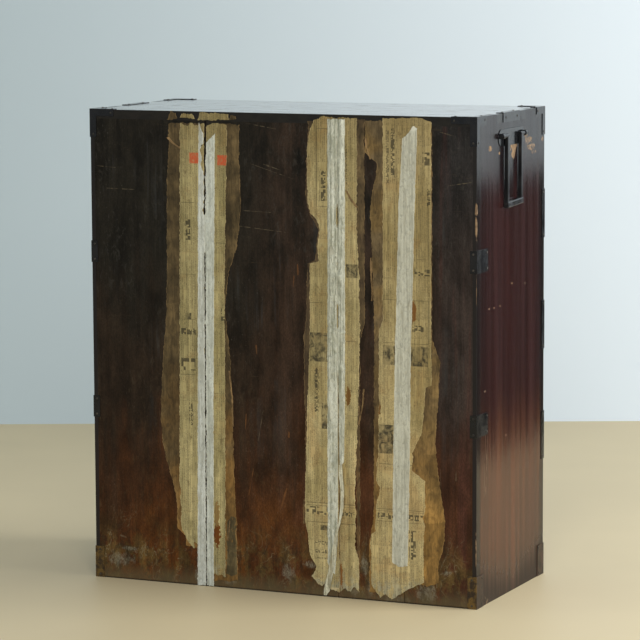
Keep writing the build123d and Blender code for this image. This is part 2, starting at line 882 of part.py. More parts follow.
def drawer_stops():
    """Blocks behind the drawers that bring each front up level with the case."""
    y_span = (y_inner_back - drawer_stop_room + stop_gap, y_inner_back)
    half = drawer_stop_width / 2
    spaces = [((-x_inner, x_inner), floor) for floor, _ in tier_openings()]
    spaces += [((-x_inner, divider_left), floor) for floor, _ in small_openings()]
    found = []
    for (x_low, x_high), floor in spaces:
        for x in (x_low + drawer_stop_inset, x_high - drawer_stop_inset):
            found.append(block((x - half, x + half), y_span, (floor, floor + drawer_stop_height)))
    return found


# Cupboard door


def hinge_segments(height):
    """The three knuckle spans of a hinge, lowest first: frame, door, frame."""
    third = hinge_height / 3
    start = height - hinge_height / 2
    half_gap = hinge_knuckle_gap / 2
    return [
        (start, start + third - half_gap),
        (start + third + half_gap, start + 2 * third - half_gap),
        (start + 2 * third + half_gap, start + hinge_height),
    ]


def hinge_leaf(height, way, length, owned):
    """One leaf of a hinge with the knuckles it owns; way is -1 for the door, 1 for the frame."""
    y_span = (y_front, y_front - hinge_leaf_thickness)
    clear = hinge_knuckle_radius + hinge_knuckle_gap
    z_span = (height - hinge_height / 2, height + hinge_height / 2)
    leaf = block((hinge_x + way * clear, hinge_x + way * length), y_span, z_span)
    for number, (low, high) in enumerate(hinge_segments(height)):
        if number in owned:
            leaf += block((hinge_x, hinge_x + way * clear), y_span, (low, high))
            leaf += rod(hinge_knuckle_radius, (hinge_x, hinge_y, low), (hinge_x, hinge_y, high))
    bore = hinge_pin_radius + hinge_pin_clearance
    low, high = z_span
    return leaf - rod(
        bore, (hinge_x, hinge_y, low - overrun), (hinge_x, hinge_y, high + overrun)
    )


def hinge_pin(height):
    """The pin through a hinge, with a head at each end."""
    low, high = height - hinge_height / 2, height + hinge_height / 2
    pin = rod(hinge_pin_radius, (hinge_x, hinge_y, low), (hinge_x, hinge_y, high))
    for end, way in ((low, -1), (high, 1)):
        pin += rod(
            hinge_head_radius,
            (hinge_x, hinge_y, end),
            (hinge_x, hinge_y, end + way * hinge_head_thickness),
        )
    return pin


def build_door():
    """The cupboard door, its fittings, its pull and the hinges."""
    x_span = (divider_right + door_gap, x_inner - door_gap)
    z_span = (z_floor_board + door_gap, z_bottom_tier_top - door_gap)
    y_inside = y_front + door_thickness
    panel = block(x_span, (y_front, y_inside), z_span)
    fitting_x = x_span[0] + door_fitting_inset
    lock_z = z_bottom_tier_middle + door_lock_rise
    pull_z = z_bottom_tier_middle - door_pull_drop + pull_drop / 2
    panel -= keyhole_cut(fitting_x, y_front, lock_z)
    hinge_heights = (lower_hinge_z, upper_hinge_z)
    fittings = [lock_plate(fitting_x, y_front, lock_z), lock_case(fitting_x, y_inside, lock_z)]
    fittings += pull_eyes(fitting_x, y_front, pull_z)
    fittings += [hinge_leaf(height, -1, hinge_door_leaf, (1,)) for height in hinge_heights]
    frame_leaves = [hinge_leaf(height, 1, hinge_frame_leaf, (0, 2)) for height in hinge_heights]
    frame_leaves += [hinge_pin(height) for height in hinge_heights]
    nodes["door_panel"] = panel
    nodes["door_fittings"] = as_group(fittings)
    nodes["door_pull"] = pull_bail(fitting_x, y_front, pull_z)
    nodes["door_frame_hinges"] = as_group(frame_leaves)


build_case()
build_back()
build_strips()
build_plates()
build_side_handles()
build_drawers()
build_door()

os.makedirs("parts", exist_ok=True)
for name, shape in nodes.items():
    export_step(shape, f"parts/{name}.step")
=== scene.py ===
"""Looks of the tansu chest: lacquer, stained back boards, pasted paper and tape, and blackened iron."""

import math
from functools import partial, reduce

import bpy
from mathutils import Matrix, Vector, noise


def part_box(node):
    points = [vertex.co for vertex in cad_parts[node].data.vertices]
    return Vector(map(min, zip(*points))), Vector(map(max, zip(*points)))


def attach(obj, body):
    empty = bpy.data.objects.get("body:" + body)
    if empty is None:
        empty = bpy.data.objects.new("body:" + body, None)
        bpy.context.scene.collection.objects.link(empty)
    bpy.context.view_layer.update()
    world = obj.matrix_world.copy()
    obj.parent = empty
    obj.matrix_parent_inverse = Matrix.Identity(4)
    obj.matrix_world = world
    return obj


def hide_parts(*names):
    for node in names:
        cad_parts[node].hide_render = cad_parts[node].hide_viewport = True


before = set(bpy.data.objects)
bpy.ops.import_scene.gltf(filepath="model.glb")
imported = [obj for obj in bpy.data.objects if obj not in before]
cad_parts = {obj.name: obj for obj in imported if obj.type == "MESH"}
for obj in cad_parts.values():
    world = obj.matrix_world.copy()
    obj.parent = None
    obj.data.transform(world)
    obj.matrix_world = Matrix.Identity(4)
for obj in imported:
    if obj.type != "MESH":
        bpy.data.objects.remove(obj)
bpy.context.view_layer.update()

MM = 0.001

back_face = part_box("back_board_1")[1].y
back = back_face / MM
case_low, case_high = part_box("side_panel_left")[0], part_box("side_panel_right")[1]
case_middle_y = (case_low.y + case_high.y) / 2


# Shader building


def paint(red, green, blue):
    """A colour as it looks on a screen, 0 to 255, as linear light."""
    channels = []
    for value in (red, green, blue):
        share = value / 255
        channels.append(share / 12.92 if share <= 0.04045 else ((share + 0.055) / 1.055) ** 2.4)
    return (*channels, 1)


class Shader:
    """One material's node tree, with its colour laid on coat by coat.

    Wherever a value goes in, a socket can go in too. Colours are sockets, or three numbers as for paint().
    """

    def __init__(self, name, colour):
        self.material = bpy.data.materials.new(name)
        self.material.use_nodes = True
        self.tree = self.material.node_tree
        self.surface = self.tree.nodes["Principled BSDF"]
        self.place = self.tree.nodes.new("ShaderNodeTexCoord").outputs["Object"]
        self.x, self.y, self.z = self.node("ShaderNodeSeparateXYZ", {0: self.place}).outputs
        self.colour = colour

    def feed(self, socket, value):
        """Sets or links one input."""
        if isinstance(value, bpy.types.NodeSocket):
            self.tree.links.new(value, socket)
        else:
            socket.default_value = value

    def node(self, kind, inputs, **settings):
        """Adds a node with its settings and inputs."""
        made = self.tree.nodes.new(kind)
        for key, value in settings.items():
            setattr(made, key, value)
        for key, value in inputs.items():
            self.feed(made.inputs[key], value)
        return made

    def calc(self, operation, first, second=0, third=0, clamp=False):
        """One step of arithmetic."""
        inputs = {0: first, 1: second, 2: third}
        return self.node("ShaderNodeMath", inputs, operation=operation, use_clamp=clamp).outputs[0]

    def vector(self, operation, first, second=(0, 0, 0), scale=1, gives="Vector"):
        """One step of vector arithmetic."""
        inputs = {0: first, 1: second, 3: scale}
        return self.node("ShaderNodeVectorMath", inputs, operation=operation).outputs[gives]

    def noise(self, cells, detail=4, roughness=0.55, distortion=0, shift=(0, 0, 0)):
        """Soft noise from about 0.3 to 0.7, with a number of cells per metre, or one number for each axis."""
        scale = cells if isinstance(cells, tuple) else (cells, cells, cells)
        inputs = {"Vector": self.place, "Scale": scale, "Location": shift}
        place = self.node("ShaderNodeMapping", inputs).outputs[0]
        inputs = {"Vector": place, "Scale": 1, "Detail": detail}
        inputs.update({"Roughness": roughness, "Distortion": distortion})
        return self.node("ShaderNodeTexNoise", inputs).outputs["Fac"]

    def random(self, first, second):
        """A steady random number for each pair of whole numbers."""
        pair = self.node("ShaderNodeCombineXYZ", {"X": first, "Y": second}).outputs[0]
        return self.node("ShaderNodeTexWhiteNoise", {"Vector": pair}, noise_dimensions="2D").outputs["Value"]

    def step(self, value, low, high):
        """Rises smoothly from 0 at low to 1 at high; it falls if low is the larger."""
        inputs = {"Value": value, "From Min": low, "From Max": high}
        return self.node("ShaderNodeMapRange", inputs, interpolation_type="SMOOTHSTEP").outputs["Result"]

    def span(self, value, low, high):
        """A straight rise from low at 0 to high at 1."""
        return self.calc("MULTIPLY_ADD", value, high - low, low)

    def swing(self, value, start, end, low, high):
        """A smooth change from low to high as a value goes from start to end."""
        return self.span(self.step(value, start, end), low, high)

    def plus(self, value, extra, share):
        """A value with a share of another one added."""
        return self.calc("MULTIPLY_ADD", extra, share, value)

    def stray(self, value, mask, reach):
        """A value that strays by up to half of a reach, as a noise says."""
        return self.plus(value, self.calc("SUBTRACT", mask, 0.5), reach)

    def whole(self, value, parts):
        """The number of whole parts in a value."""
        return self.calc("FLOOR", self.calc("MULTIPLY", value, parts))

    def apart(self, value, place):
        """How far a value is from a place."""
        return self.calc("ABSOLUTE", self.calc("SUBTRACT", value, place))

    def veins(self, mask, width):
        """Thin winding lines, where a noise passes its middle."""
        return self.step(self.apart(mask, 0.5), width, 0)

    def at_face(self, value, face):
        """1 from 0.2 mm before a face on, and 0 up to 0.7 mm before it."""
        return self.step(value, face - 0.7 * MM, face - 0.2 * MM)

    def times(self, *values):
        """The product of several masks."""
        return reduce(partial(self.calc, "MULTIPLY"), values)

    def most(self, *values):
        """The largest of several masks."""
        return reduce(partial(self.calc, "MAXIMUM"), values)

    def mix(self, share, *colours):
        """Mixes two colours."""
        first, second = (paint(*colour) if isinstance(colour, tuple) else colour for colour in colours)
        return self.node("ShaderNodeMix", {0: share, 6: first, 7: second}, data_type="RGBA").outputs[2]

    def over(self, colour, *masks):
        """Lays a colour over what is there, as far as the product of the masks says."""
        self.colour = self.mix(self.times(*masks), self.colour, colour)

    def shade(self, *tones):
        """Makes the colour darker or lighter."""
        self.colour = self.vector("SCALE", self.colour, scale=self.times(*tones))

    def bump(self, height, distance, normal=None):
        """A bump of that real height, in metres."""
        inputs = {"Height": height, "Distance": distance}
        if normal is not None:
            inputs["Normal"] = normal
        return self.node("ShaderNodeBump", inputs).outputs[0]

    def box(self, low, high, value, soft):
        """1 where a value lies between two limits, with soft ends."""
        rise = self.step(value, low - soft, low + soft)
        return self.times(rise, self.step(value, high + soft, high - soft))

    def strokes(self, lines, warp=0.0015):
        """A mask of scratches; each is two points in millimetres in the plane it lies in, and a width."""
        wobble = self.noise(60, 3)
        masks = []
        for start, end, width in lines:
            first, last = Vector(start) * MM, Vector(end) * MM
            along = last - first
            offset = self.vector("SUBTRACT", self.place, tuple(first))
            share = self.vector("DOT_PRODUCT", offset, tuple(along / along.length_squared), gives="Value")
            share = self.calc("ADD", share, 0, clamp=True)
            nearest = self.vector("SCALE", tuple(along), scale=share)
            distance = self.vector("LENGTH", self.vector("SUBTRACT", offset, nearest), gives="Value")
            distance = self.stray(distance, wobble, warp * 2)
            taper = self.calc("MULTIPLY", self.calc("SUBTRACT", 1, share), share)
            wide = width * MM
            reach = self.calc("MULTIPLY", self.calc("POWER", taper, 0.4), wide * 1.3)
            masks.append(self.step(self.calc("SUBTRACT", distance, reach), wide * 0.4, -wide * 0.2))
        return self.most(*masks)

    def patches(self, places, mask, ragged, start, end):
        """A mask of patches broken by a noise; each is a centre and a reach on each axis, in millimetres."""
        masks = []
        for centre, reach in places:
            offset = self.vector("SUBTRACT", self.place, tuple(Vector(centre) * MM))
            share = self.vector("MULTIPLY", offset, tuple(1 / (size * MM) for size in reach))
            distance = self.stray(self.vector("LENGTH", share, gives="Value"), mask, ragged)
            masks.append(self.step(distance, start, end))
        return self.most(*masks)

    def spots(self, places, ragged):
        """Worn or torn patches with a clear edge."""
        return self.patches(places, self.noise((170, 170, 120), 4, 0.65), ragged, 1.05, 0.9)

    def smears(self, places):
        """A soft, broken film."""
        return self.patches(places, self.noise((95, 95, 60), 5, 0.7, 0.6), 3, 1.15, 0.35)

    def finish(self, **sockets):
        """Sets the surface's sockets and gives the material."""
        names = {"roughness": "Roughness", "metallic": "Metallic", "normal": "Normal", "coat": "Coat Weight",
                 "coat_roughness": "Coat Roughness", "specular": "Specular IOR Level"}
        self.feed(self.surface.inputs["Base Color"], self.colour)
        for key, value in sockets.items():
            self.feed(self.surface.inputs[names[key]], value)
        return self.material


# Materials


def on_back(lines):
    """Strokes given as x and z of both ends and a width, put on the back."""
    return [((x, back, z), (end_x, back, end_z), width) for x, z, end_x, end_z, width in lines]


def back_wood():
    """Stained boards: near black at the top, warm brown towards the foot, scuffed, scratched and dusty."""
    s = Shader("back_wood", (32, 29, 23))
    cloud = s.noise((5, 5, 2.6), 5, 0.55, 0.4)
    blotch = s.noise((24, 24, 10), 5, 0.62, 0.3, (2, 0, 5))
    streak = s.noise((46, 46, 1.8), 5, 0.6)
    fibre = s.noise((430, 430, 12), 4, 0.6)
    grit = s.noise((430, 430, 210), 3, 0.65, 0, (1, 0, 3))
    broad = s.noise((17, 17, 7), 5, 0.55, 0.3, (7, 0, 5))
    # The stain fades towards the foot, and the left board is darker than the others
    height = s.stray(s.stray(s.z, cloud, 0.7), streak, 0.4)
    height = s.plus(height, s.step(s.x, 0.173, 0.175), 0.13)
    height = s.calc("SUBTRACT", height, 0.06)
    s.over((44, 33, 23), s.step(height, 0.8, 0.46))
    s.over((84, 47, 18), s.step(height, 0.47, 0.08))
    s.over((66, 47, 37), s.step(s.x, 0.1, -0.02), s.step(s.x, -0.4, -0.3), s.step(blotch, 0.3, 0.6), 0.34)
    # The right board is greyer at the top and redder at the foot
    right = s.mix(s.step(height, 0.95, 0.5), (43, 41, 41), (58, 49, 45))
    right = s.mix(s.step(height, 0.44, 0.05), right, (70, 42, 26))
    right = s.mix(s.times(s.step(streak, 0.48, 0.64), 0.5), right, (64, 34, 28))
    s.over(right, s.step(s.x, -0.345, -0.385), 0.9)
    warm = s.times(s.step(broad, 0.46, 0.64), s.step(height, 0.34, 0.06), s.step(s.x, -0.36, -0.3))
    s.over((112, 68, 24), warm, 0.5)
    s.over((96, 78, 42), s.step(s.noise((34, 34, 22), 5, 0.65), 0.44, 0.6), s.step(s.z, 0.17, 0.05), 0.75)
    s.shade(s.swing(blotch, 0.3, 0.7, 0.58, 1.36), s.swing(streak, 0.3, 0.7, 0.7, 1.22),
            s.swing(fibre, 0.3, 0.7, 0.88, 1.13), s.swing(grit, 0.3, 0.7, 0.78, 1.25))
    # Scratches, chips, dried paste, scuffs and dust, with a painted sheen in the grey streaks and a painted
    # contact shadow along the bottom
    hairs = s.veins(s.noise((5, 5, 75), 3, 0.5, 1.4), 0.004)
    s.over((98, 84, 62), hairs, s.step(s.noise((9, 9, 30), 3, 0.5, 0, (4, 0, 8)), 0.58, 0.7), 0.5)
    curls = s.veins(s.noise((26, 26, 18), 3, 0.55, 1.2, (8, 0, 1)), 0.014)
    s.over((134, 122, 94), curls, s.step(blotch, 0.42, 0.56), s.step(s.z, 0.2, 0.06), 0.7)
    thin = s.strokes(on_back(pale_scratches))
    s.over((124, 112, 90), thin, s.step(s.noise((120, 120, 60), 3), 0.36, 0.58), 0.42)
    chips = s.strokes(on_back(wood_chips), 0.002)
    s.over((134, 88, 46), chips, s.step(s.noise((90, 90, 40), 3), 0.3, 0.6), 0.45)
    film = s.smears([((x, back, z), (wide, 9, tall)) for x, z, wide, tall in paste_residue])
    s.over((142, 140, 122), film, s.swing(grit, 0.35, 0.65, 0.15, 0.62))
    s.over((104, 104, 94), s.step(grit, 0.66, 0.73), s.step(cloud, 0.42, 0.6), 0.4)
    scuffed = s.mix(s.step(s.z, 0.3, 0.7), (80, 66, 44), (76, 74, 68))
    scuffs = s.step(s.noise((120, 120, 46), 5, 0.7, 0.5, (5, 0, 2)), 0.52, 0.66)
    s.over(scuffed, scuffs, s.step(s.noise((11, 11, 7), 3), 0.42, 0.6), 0.3)
    patchy = s.noise((52, 52, 38), 5, 0.7, 0.5, (3, 0, 2))
    s.over((44, 35, 23), s.step(patchy, 0.5, 0.62), s.step(s.z, 0.19, 0.07), 0.55)
    # Grey streaks fading in from 0.2 m up: dust, and partly a painted sheen on the boards
    dust_and_sheen_streaks = s.noise((44, 44, 2.2), 5, 0.65, 0.3, (9, 0, 4))
    dust_and_sheen_patches = s.noise((10, 10, 5), 4, 0.6, 0, (2, 0, 9))
    s.over((74, 76, 76), s.step(dust_and_sheen_streaks, 0.5, 0.66), s.step(dust_and_sheen_patches, 0.44, 0.6), s.step(s.z, 0.2, 0.5), 0.3)
    s.over((104, 92, 66), s.step(s.stray(s.z, blotch, 0.05), 0.045, 0), 0.6)
    # A painted contact shadow: the lowest few millimetres darker where the boards meet the floor
    s.over((26, 22, 17), s.step(s.z, 0.0045, 0.001), 0.8)
    # The open seam behind the left tape, which leans a little
    seam_foot, seam_lean = 0.1808, -0.0066
    seam = s.apart(s.x, s.plus(seam_foot, s.z, seam_lean))
    s.over((24, 19, 15), s.step(seam, 0.0032, 0.0022))
    relief = s.plus(s.times(streak, 0.5), fibre, 0.3)
    normal = s.bump(relief, 0.0011, s.bump(s.plus(blotch, grit, 0.25), 0.001))
    return s.finish(roughness=s.swing(blotch, 0.3, 0.7, 0.36, 0.62), normal=normal, specular=0.15)


def case_lacquer(name, worn_places=(), scratches=(), tint=(50, 25, 24), gloss=0.1):
    """Dark red lacquer over straight grain: near black at the top with a painted bluish reflection, brown at
    the foot, darker there with dirt and a painted contact shade, worn in places.
    """
    s = Shader(name, (34, 21, 21))
    grain = s.noise((42, 42, 0.8), 6, 0.6)
    broad = s.noise((14, 14, 0.6), 4, 0.55, 0, (3, 1, 0))
    fine = s.noise((420, 420, 6), 3, 0.5)
    cloud = s.noise((9, 9, 2.4))
    chips = s.noise((75, 75, 50), 4, 0.7)
    s.over(tint, s.step(s.plus(s.times(grain, 0.5), broad, 0.5), 0.38, 0.6))
    height = s.stray(s.z, broad, 0.35)
    # Near black at the top, where its blue tint is a painted reflection of the pale room
    s.over((16, 18, 21), s.step(height, 0.82, 0.98), 0.85)
    s.over(s.mix(s.step(grain, 0.36, 0.64), (66, 40, 27), (96, 54, 34)), s.step(height, 0.46, 0.24), 0.75)
    s.over((36, 24, 24), s.step(cloud, 0.52, 0.68), 0.4)
    # Darker along its upright edges, and darker at the foot with dirt and a painted contact shade, most at
    # the corners
    edge = s.stray(s.apart(s.y, case_middle_y), cloud, 0.03)
    s.over((24, 22, 22), s.step(edge, 0.168, 0.196), 0.85)
    foot = s.calc("ADD", s.stray(s.z, grain, 0.12), 0.045)
    grime_and_contact_shade = s.step(s.plus(foot, edge, -0.3), 0.15, 0.02)
    s.over((36, 29, 22), grime_and_contact_shade, 0.85)
    # Bare wood where the lacquer has come off
    bare = s.times(s.step(s.z, 0.022, 0.004), s.step(chips, 0.56, 0.62), s.step(s.y, 0.03, 0.1), 0.8)
    if worn_places:
        broken = s.noise(210, 5, 0.75, 0, (2, 5, 0))
        broken = s.plus(broken, s.step(s.y, -0.06, -0.03), 0.14)
        bare = s.most(bare, s.times(s.spots(worn_places, 2), s.step(broken, 0.36, 0.62)))
    if scratches:
        bare = s.most(bare, s.times(s.strokes(scratches, 0.001), s.step(chips, 0.4, 0.52), 0.7))
    s.over(s.mix(s.step(chips, 0.35, 0.65), (112, 90, 68), (170, 140, 106)), bare, 0.85)
    s.over((126, 112, 100), s.step(s.noise(330, 2), 0.72, 0.77), 0.4)
    behind = s.at_face(s.y, back_face)
    dark = s.times(s.step(bare, 0.3, 0), s.step(s.calc("ABSOLUTE", s.x), 0.5, 0.4), 0.8)
    s.over((31, 29, 27), behind, dark)
    normal = s.bump(broad, 0.0005, s.bump(grain, 0.0002, s.bump(fine, 0.00003)))
    roughness = s.swing(grain, 0.3, 0.7, gloss, gloss + 0.07)
    roughness = s.plus(roughness, s.step(s.z, 0.84, 1), 0.1)
    roughness = s.most(roughness, s.times(bare, 0.7), s.times(behind, 0.5), s.times(grime_and_contact_shade, 0.5))
    return s.finish(roughness=roughness, normal=normal, specular=0.27)


def top_lacquer():
    """Lacquer on the top, smooth enough to mirror the room at a flat angle, with dull dark edges."""
    s = Shader("top_lacquer", (34, 20, 17))
    grain = s.noise((1.1, 46, 46), 6, 0.6)
    cloud = s.noise(7)
    rubbed = s.noise((20, 26, 20), 5, 0.6)
    dull = s.noise((40, 40, 90), 5, 0.65)
    s.over((56, 30, 24), s.step(grain, 0.36, 0.64))
    s.over((66, 32, 26), s.step(cloud, 0.46, 0.64), 0.4)
    lines = s.veins(s.noise((7, 60, 7), 3, 0.5, 1.3, (3, 0, 0)), 0.006)
    s.over((120, 104, 90), lines, s.step(rubbed, 0.5, 0.62), 0.5)
    behind = s.at_face(s.y, back_face)
    s.over(s.mix(s.step(dull, 0.35, 0.65), (20, 18, 16), (30, 27, 23)), behind)
    end = s.at_face(s.calc("ABSOLUTE", s.x), case_high.x)
    s.over(s.mix(s.step(grain, 0.4, 0.6), (18, 17, 17), (27, 24, 23)), end)
    normal = s.bump(cloud, 0.00025, s.bump(grain, 0.00003))
    roughness = s.most(s.swing(rubbed, 0.35, 0.7, 0.16, 0.3), s.times(behind, 0.62))
    clear = s.calc("SUBTRACT", 1, s.most(behind, end))
    return s.finish(roughness=roughness, normal=normal, coat=clear, coat_roughness=0.13, specular=0.3)


def worn_and_highlit_edge(name, dark, bright, share, metal, gloss):
    """The rubbed edge of a board or a plate, bright in places: worn, and on iron also a painted highlight
    where the edge catches the light.
    """
    s = Shader(name, dark)
    wear_and_highlight = s.step(s.noise(26, 5, 0.65), 1 - share, 1.12 - share)
    wear_and_highlight = s.times(wear_and_highlight, s.step(s.noise(300, 3, 0.6), 0.36, 0.56))
    # Bright where rubbed; on iron this is also a painted highlight along the edge
    s.over(bright, wear_and_highlight)
    return s.finish(roughness=gloss, metallic=s.times(wear_and_highlight, metal))


def front_lacquer():
    """Red-brown lacquer with the grain of wide boards showing through, lying along X."""
    s = Shader("front_lacquer", (44, 18, 12))
    rings = s.noise((2.2, 2.2, 70), 6, 0.6, 1.2)
    s.over((92, 40, 22), s.step(rings, 0.33, 0.67))
    s.over((66, 24, 16), s.step(s.noise((3, 3, 9), 3), 0.4, 0.65), 0.4)
    s.over((34, 15, 11), s.step(s.noise((7, 60, 520), 3), 0.55, 0.75), 0.5)
    s.over((150, 130, 110), s.step(s.noise(330, 2), 0.7, 0.76), 0.4)
    normal = s.bump(s.noise((6, 6, 34), 3), 0.0008, s.bump(rings, 0.0002))
    return s.finish(roughness=s.span(rings, 0.16, 0.36), normal=normal, coat=0.3, coat_roughness=0.12)


def bare_wood():
    """Pale unfinished wood, greyed with age."""
    s = Shader("bare_wood", (196, 164, 120))
    rings = s.noise((2, 3, 75), 6, 0.6, 0.9)
    fine = s.noise((9, 12, 560), 3)
    s.over((158, 124, 84), s.step(rings, 0.3, 0.7))
    s.over((128, 98, 66), s.step(fine, 0.5, 0.72), 0.5)
    s.over((140, 122, 98), s.step(s.noise((4, 5, 5)), 0.45, 0.7), 0.5)
    return s.finish(roughness=0.72, normal=s.bump(rings, 0.0006, s.bump(fine, 0.0003)), specular=0.3)


def iron(name, base, gloss, metal, rust_share, rust=(92, 56, 34)):
    """Blackened sheet or bar iron, a little hammered, with rust in its hollows."""
    s = Shader(name, base)
    hammer = s.noise(120, 3, 0.5)
    grit = s.noise(520, 3, 0.6)
    cloud = s.noise(34, 5, 0.6)
    s.over(tuple(value * 1.45 for value in base), s.step(cloud, 0.35, 0.65))
    s.over(rust, s.step(cloud, 0.46, 0.62), s.step(grit, 0.42, 0.62), rust_share)
    s.over((126, 122, 112), s.step(grit, 0.66, 0.74), s.step(hammer, 0.5, 0.62), 0.5)
    mixed = s.plus(s.times(cloud, 0.6), grit, 0.4)
    roughness = s.swing(mixed, 0.35, 0.65, gloss, gloss + 0.12)
    normal = s.bump(hammer, 0.00022, s.bump(grit, 0.00006))
    return s.finish(roughness=roughness, normal=normal, metallic=metal, specular=0.33)


def corner_iron():
    """The foot's corner plates: ochre and rusty on the back, lacquered over and worn on the other faces."""
    s = Shader("rusty_iron", (34, 26, 20))
    cloud = s.noise(55, 5, 0.65, 0.5)
    grit = s.noise(420, 3, 0.6)
    s.over((62, 43, 31), s.step(cloud, 0.38, 0.62))
    s.over((104, 84, 56), s.step(grit, 0.62, 0.72), 0.4)
    rust = s.mix(s.step(cloud, 0.4, 0.6), (48, 35, 22), (104, 80, 36))
    rust = s.mix(s.times(s.step(grit, 0.52, 0.66), 0.5), rust, (30, 25, 19))
    behind = s.step(s.y, back_face - 0.2 * MM, back_face + 0.2 * MM)
    s.over(rust, behind)
    normal = s.bump(cloud, 0.0006, s.bump(grit, 0.00008))
    return s.finish(roughness=s.span(behind, 0.42, 0.55), normal=normal, specular=0.31)


def rim_of(s):
    """How close a place is to a sheet's torn edge."""
    return s.node("ShaderNodeAttribute", {}, attribute_name="rim").outputs["Fac"]


def brown_paper(name, dark, light, low):
    """Old thin brown paper that lets the stain through, patchy where it was pasted in pieces, pale along its
    torn rim with a painted highlight.
    """
    s = Shader(name, dark)
    fibre = s.noise((260, 260, 14), 5, 0.6)
    cloud = s.noise((30, 30, 11), 5, 0.65)
    patch = s.noise((9, 9, 15), 3, 0.4, 0, (6, 0, 2))
    mottle = s.noise((85, 85, 40), 5, 0.7, 0.8, (4, 0, 6))
    s.over(light, s.step(patch, 0.4, 0.6))
    s.over(low, s.step(s.plus(s.z, patch, 0.6), 0.8, 0.4), 0.75)
    row = s.calc("DIVIDE", s.plus(s.plus(s.z, s.x, 0.12), cloud, 0.02), 74 * MM)
    piece = s.random(s.calc("FLOOR", row), s.whole(s.x, 9))
    s.shade(s.swing(cloud, 0.3, 0.7, 0.6, 1.3), s.swing(fibre, 0.3, 0.7, 0.84, 1.14),
            s.span(piece, 0.82, 1.12), s.swing(mottle, 0.32, 0.66, 0.68, 1.24))
    s.over((44, 36, 26), s.step(s.noise((60, 60, 30), 5, 0.7), 0.56, 0.68), 0.5)
    # Paler along the torn rim: torn fibre, and a painted highlight where the rim curls up
    s.over((158, 130, 88), s.step(rim_of(s), 0.62, 1), s.step(mottle, 0.42, 0.56), 0.6)
    normal = s.bump(fibre, 0.0004, s.bump(cloud, 0.0012))
    return s.finish(roughness=0.7, normal=normal, specular=0.25)


def newspaper(name, light, shade, headings, pictures, frames, rules, seals=(), tears=()):
    """Browned newsprint with columns of tiny marks, plain rules and grey pictures, none of them legible, with
    painted light and shade along its folds and a painted highlight on its torn rim.

    Each printed thing is its lowest x and z and its highest x and z in millimetres; a frame has its line's
    width too. A tear is x, z, half width, half height and the colour that shows through.
    """
    s = Shader(name, shade)
    fibre = s.noise((320, 320, 16), 5, 0.6)
    cloud = s.noise((16, 16, 6), 5, 0.6)
    folds = s.noise((150, 150, 1.6), 4, 0.6)
    stain = s.noise(11, 5, 0.65, 0.5, (5, 0, 1))
    spots = s.noise((75, 75, 50), 4, 0.65, 0.4, (1, 0, 9))
    s.over(light, s.step(cloud, 0.35, 0.65))
    s.over((160, 122, 72), s.step(stain, 0.5, 0.66), 0.35)
    s.over((124, 114, 74), s.step(stain, 0.46, 0.34), 0.35)
    s.over((124, 102, 58), s.step(s.z, 0.9, 1.03), 0.35)
    s.over((168, 164, 138), s.step(s.z, 0.075, 0.02), s.step(spots, 0.42, 0.58), 0.8)
    # Painted light and shade along the folds that the bump raises, with the fibre's own tone, lighter towards
    # the foot
    fold_shading_and_tone = s.times(s.swing(folds, 0.32, 0.68, 0.82, 1.14), s.swing(fibre, 0.3, 0.7, 0.88, 1.1),
                      s.swing(s.z, 0.75, 0.3, 0.94, 1.09))
    s.shade(fold_shading_and_tone)
    s.over((96, 76, 46), s.step(spots, 0.6, 0.7), 0.4)
    ink = printed_columns(s)

    def area(left, bottom, right, top, soft):
        across = s.box(left * MM, right * MM, s.x, soft * MM)
        return s.times(across, s.box(bottom * MM, top * MM, s.z, soft * MM))

    def stamp(place, marks):
        return s.most(s.times(ink, s.calc("SUBTRACT", 1, place)), s.times(place, marks))

    for left, bottom, right, top in headings:
        ink = stamp(area(left, bottom, right, top, 0.4), heading_marks(s, min(right - left, top - bottom)))
    picture = s.swing(s.noise(62, 5, 0.62, 0.6), 0.36, 0.62, 0.42, 1.15)
    for place in pictures:
        ink = stamp(area(*place, 0.6), picture)
    for left, bottom, right, top, width in frames:
        outer = area(left, bottom, right, top, 0.2)
        inner = area(left + width, bottom + width, right - width, top - width, 0.2)
        ink = s.most(ink, s.times(s.calc("SUBTRACT", outer, inner, clamp=True), 0.8))
    for place in rules:
        ink = s.most(ink, s.times(area(*place, 0.3), 0.8))
    s.over((46, 44, 37), ink, s.swing(s.noise((150, 150, 60), 4, 0.6), 0.3, 0.5, 0.5, 1), 0.8)
    for x, z, wide, tall, shown in tears:
        hole = s.spots([((x, back, z), (wide, 30, tall))], 2.8)
        s.over(s.vector("SCALE", paint(*shown)[:3], scale=fold_shading_and_tone), hole)
    for place in seals:
        s.over((200, 84, 50), area(*place, 1), s.swing(s.noise(240, 3, 0.7), 0.38, 0.62, 0.5, 1))
    # Paler along the torn rim: torn fibre, and a painted highlight where the rim curls up
    s.over((212, 194, 148), s.step(rim_of(s), 0.7, 1), s.swing(spots, 0.4, 0.56, 0.15, 0.7))
    normal = s.bump(fibre, 0.0003, s.bump(folds, 0.0014))
    return s.finish(roughness=0.75, normal=normal, specular=0.2)


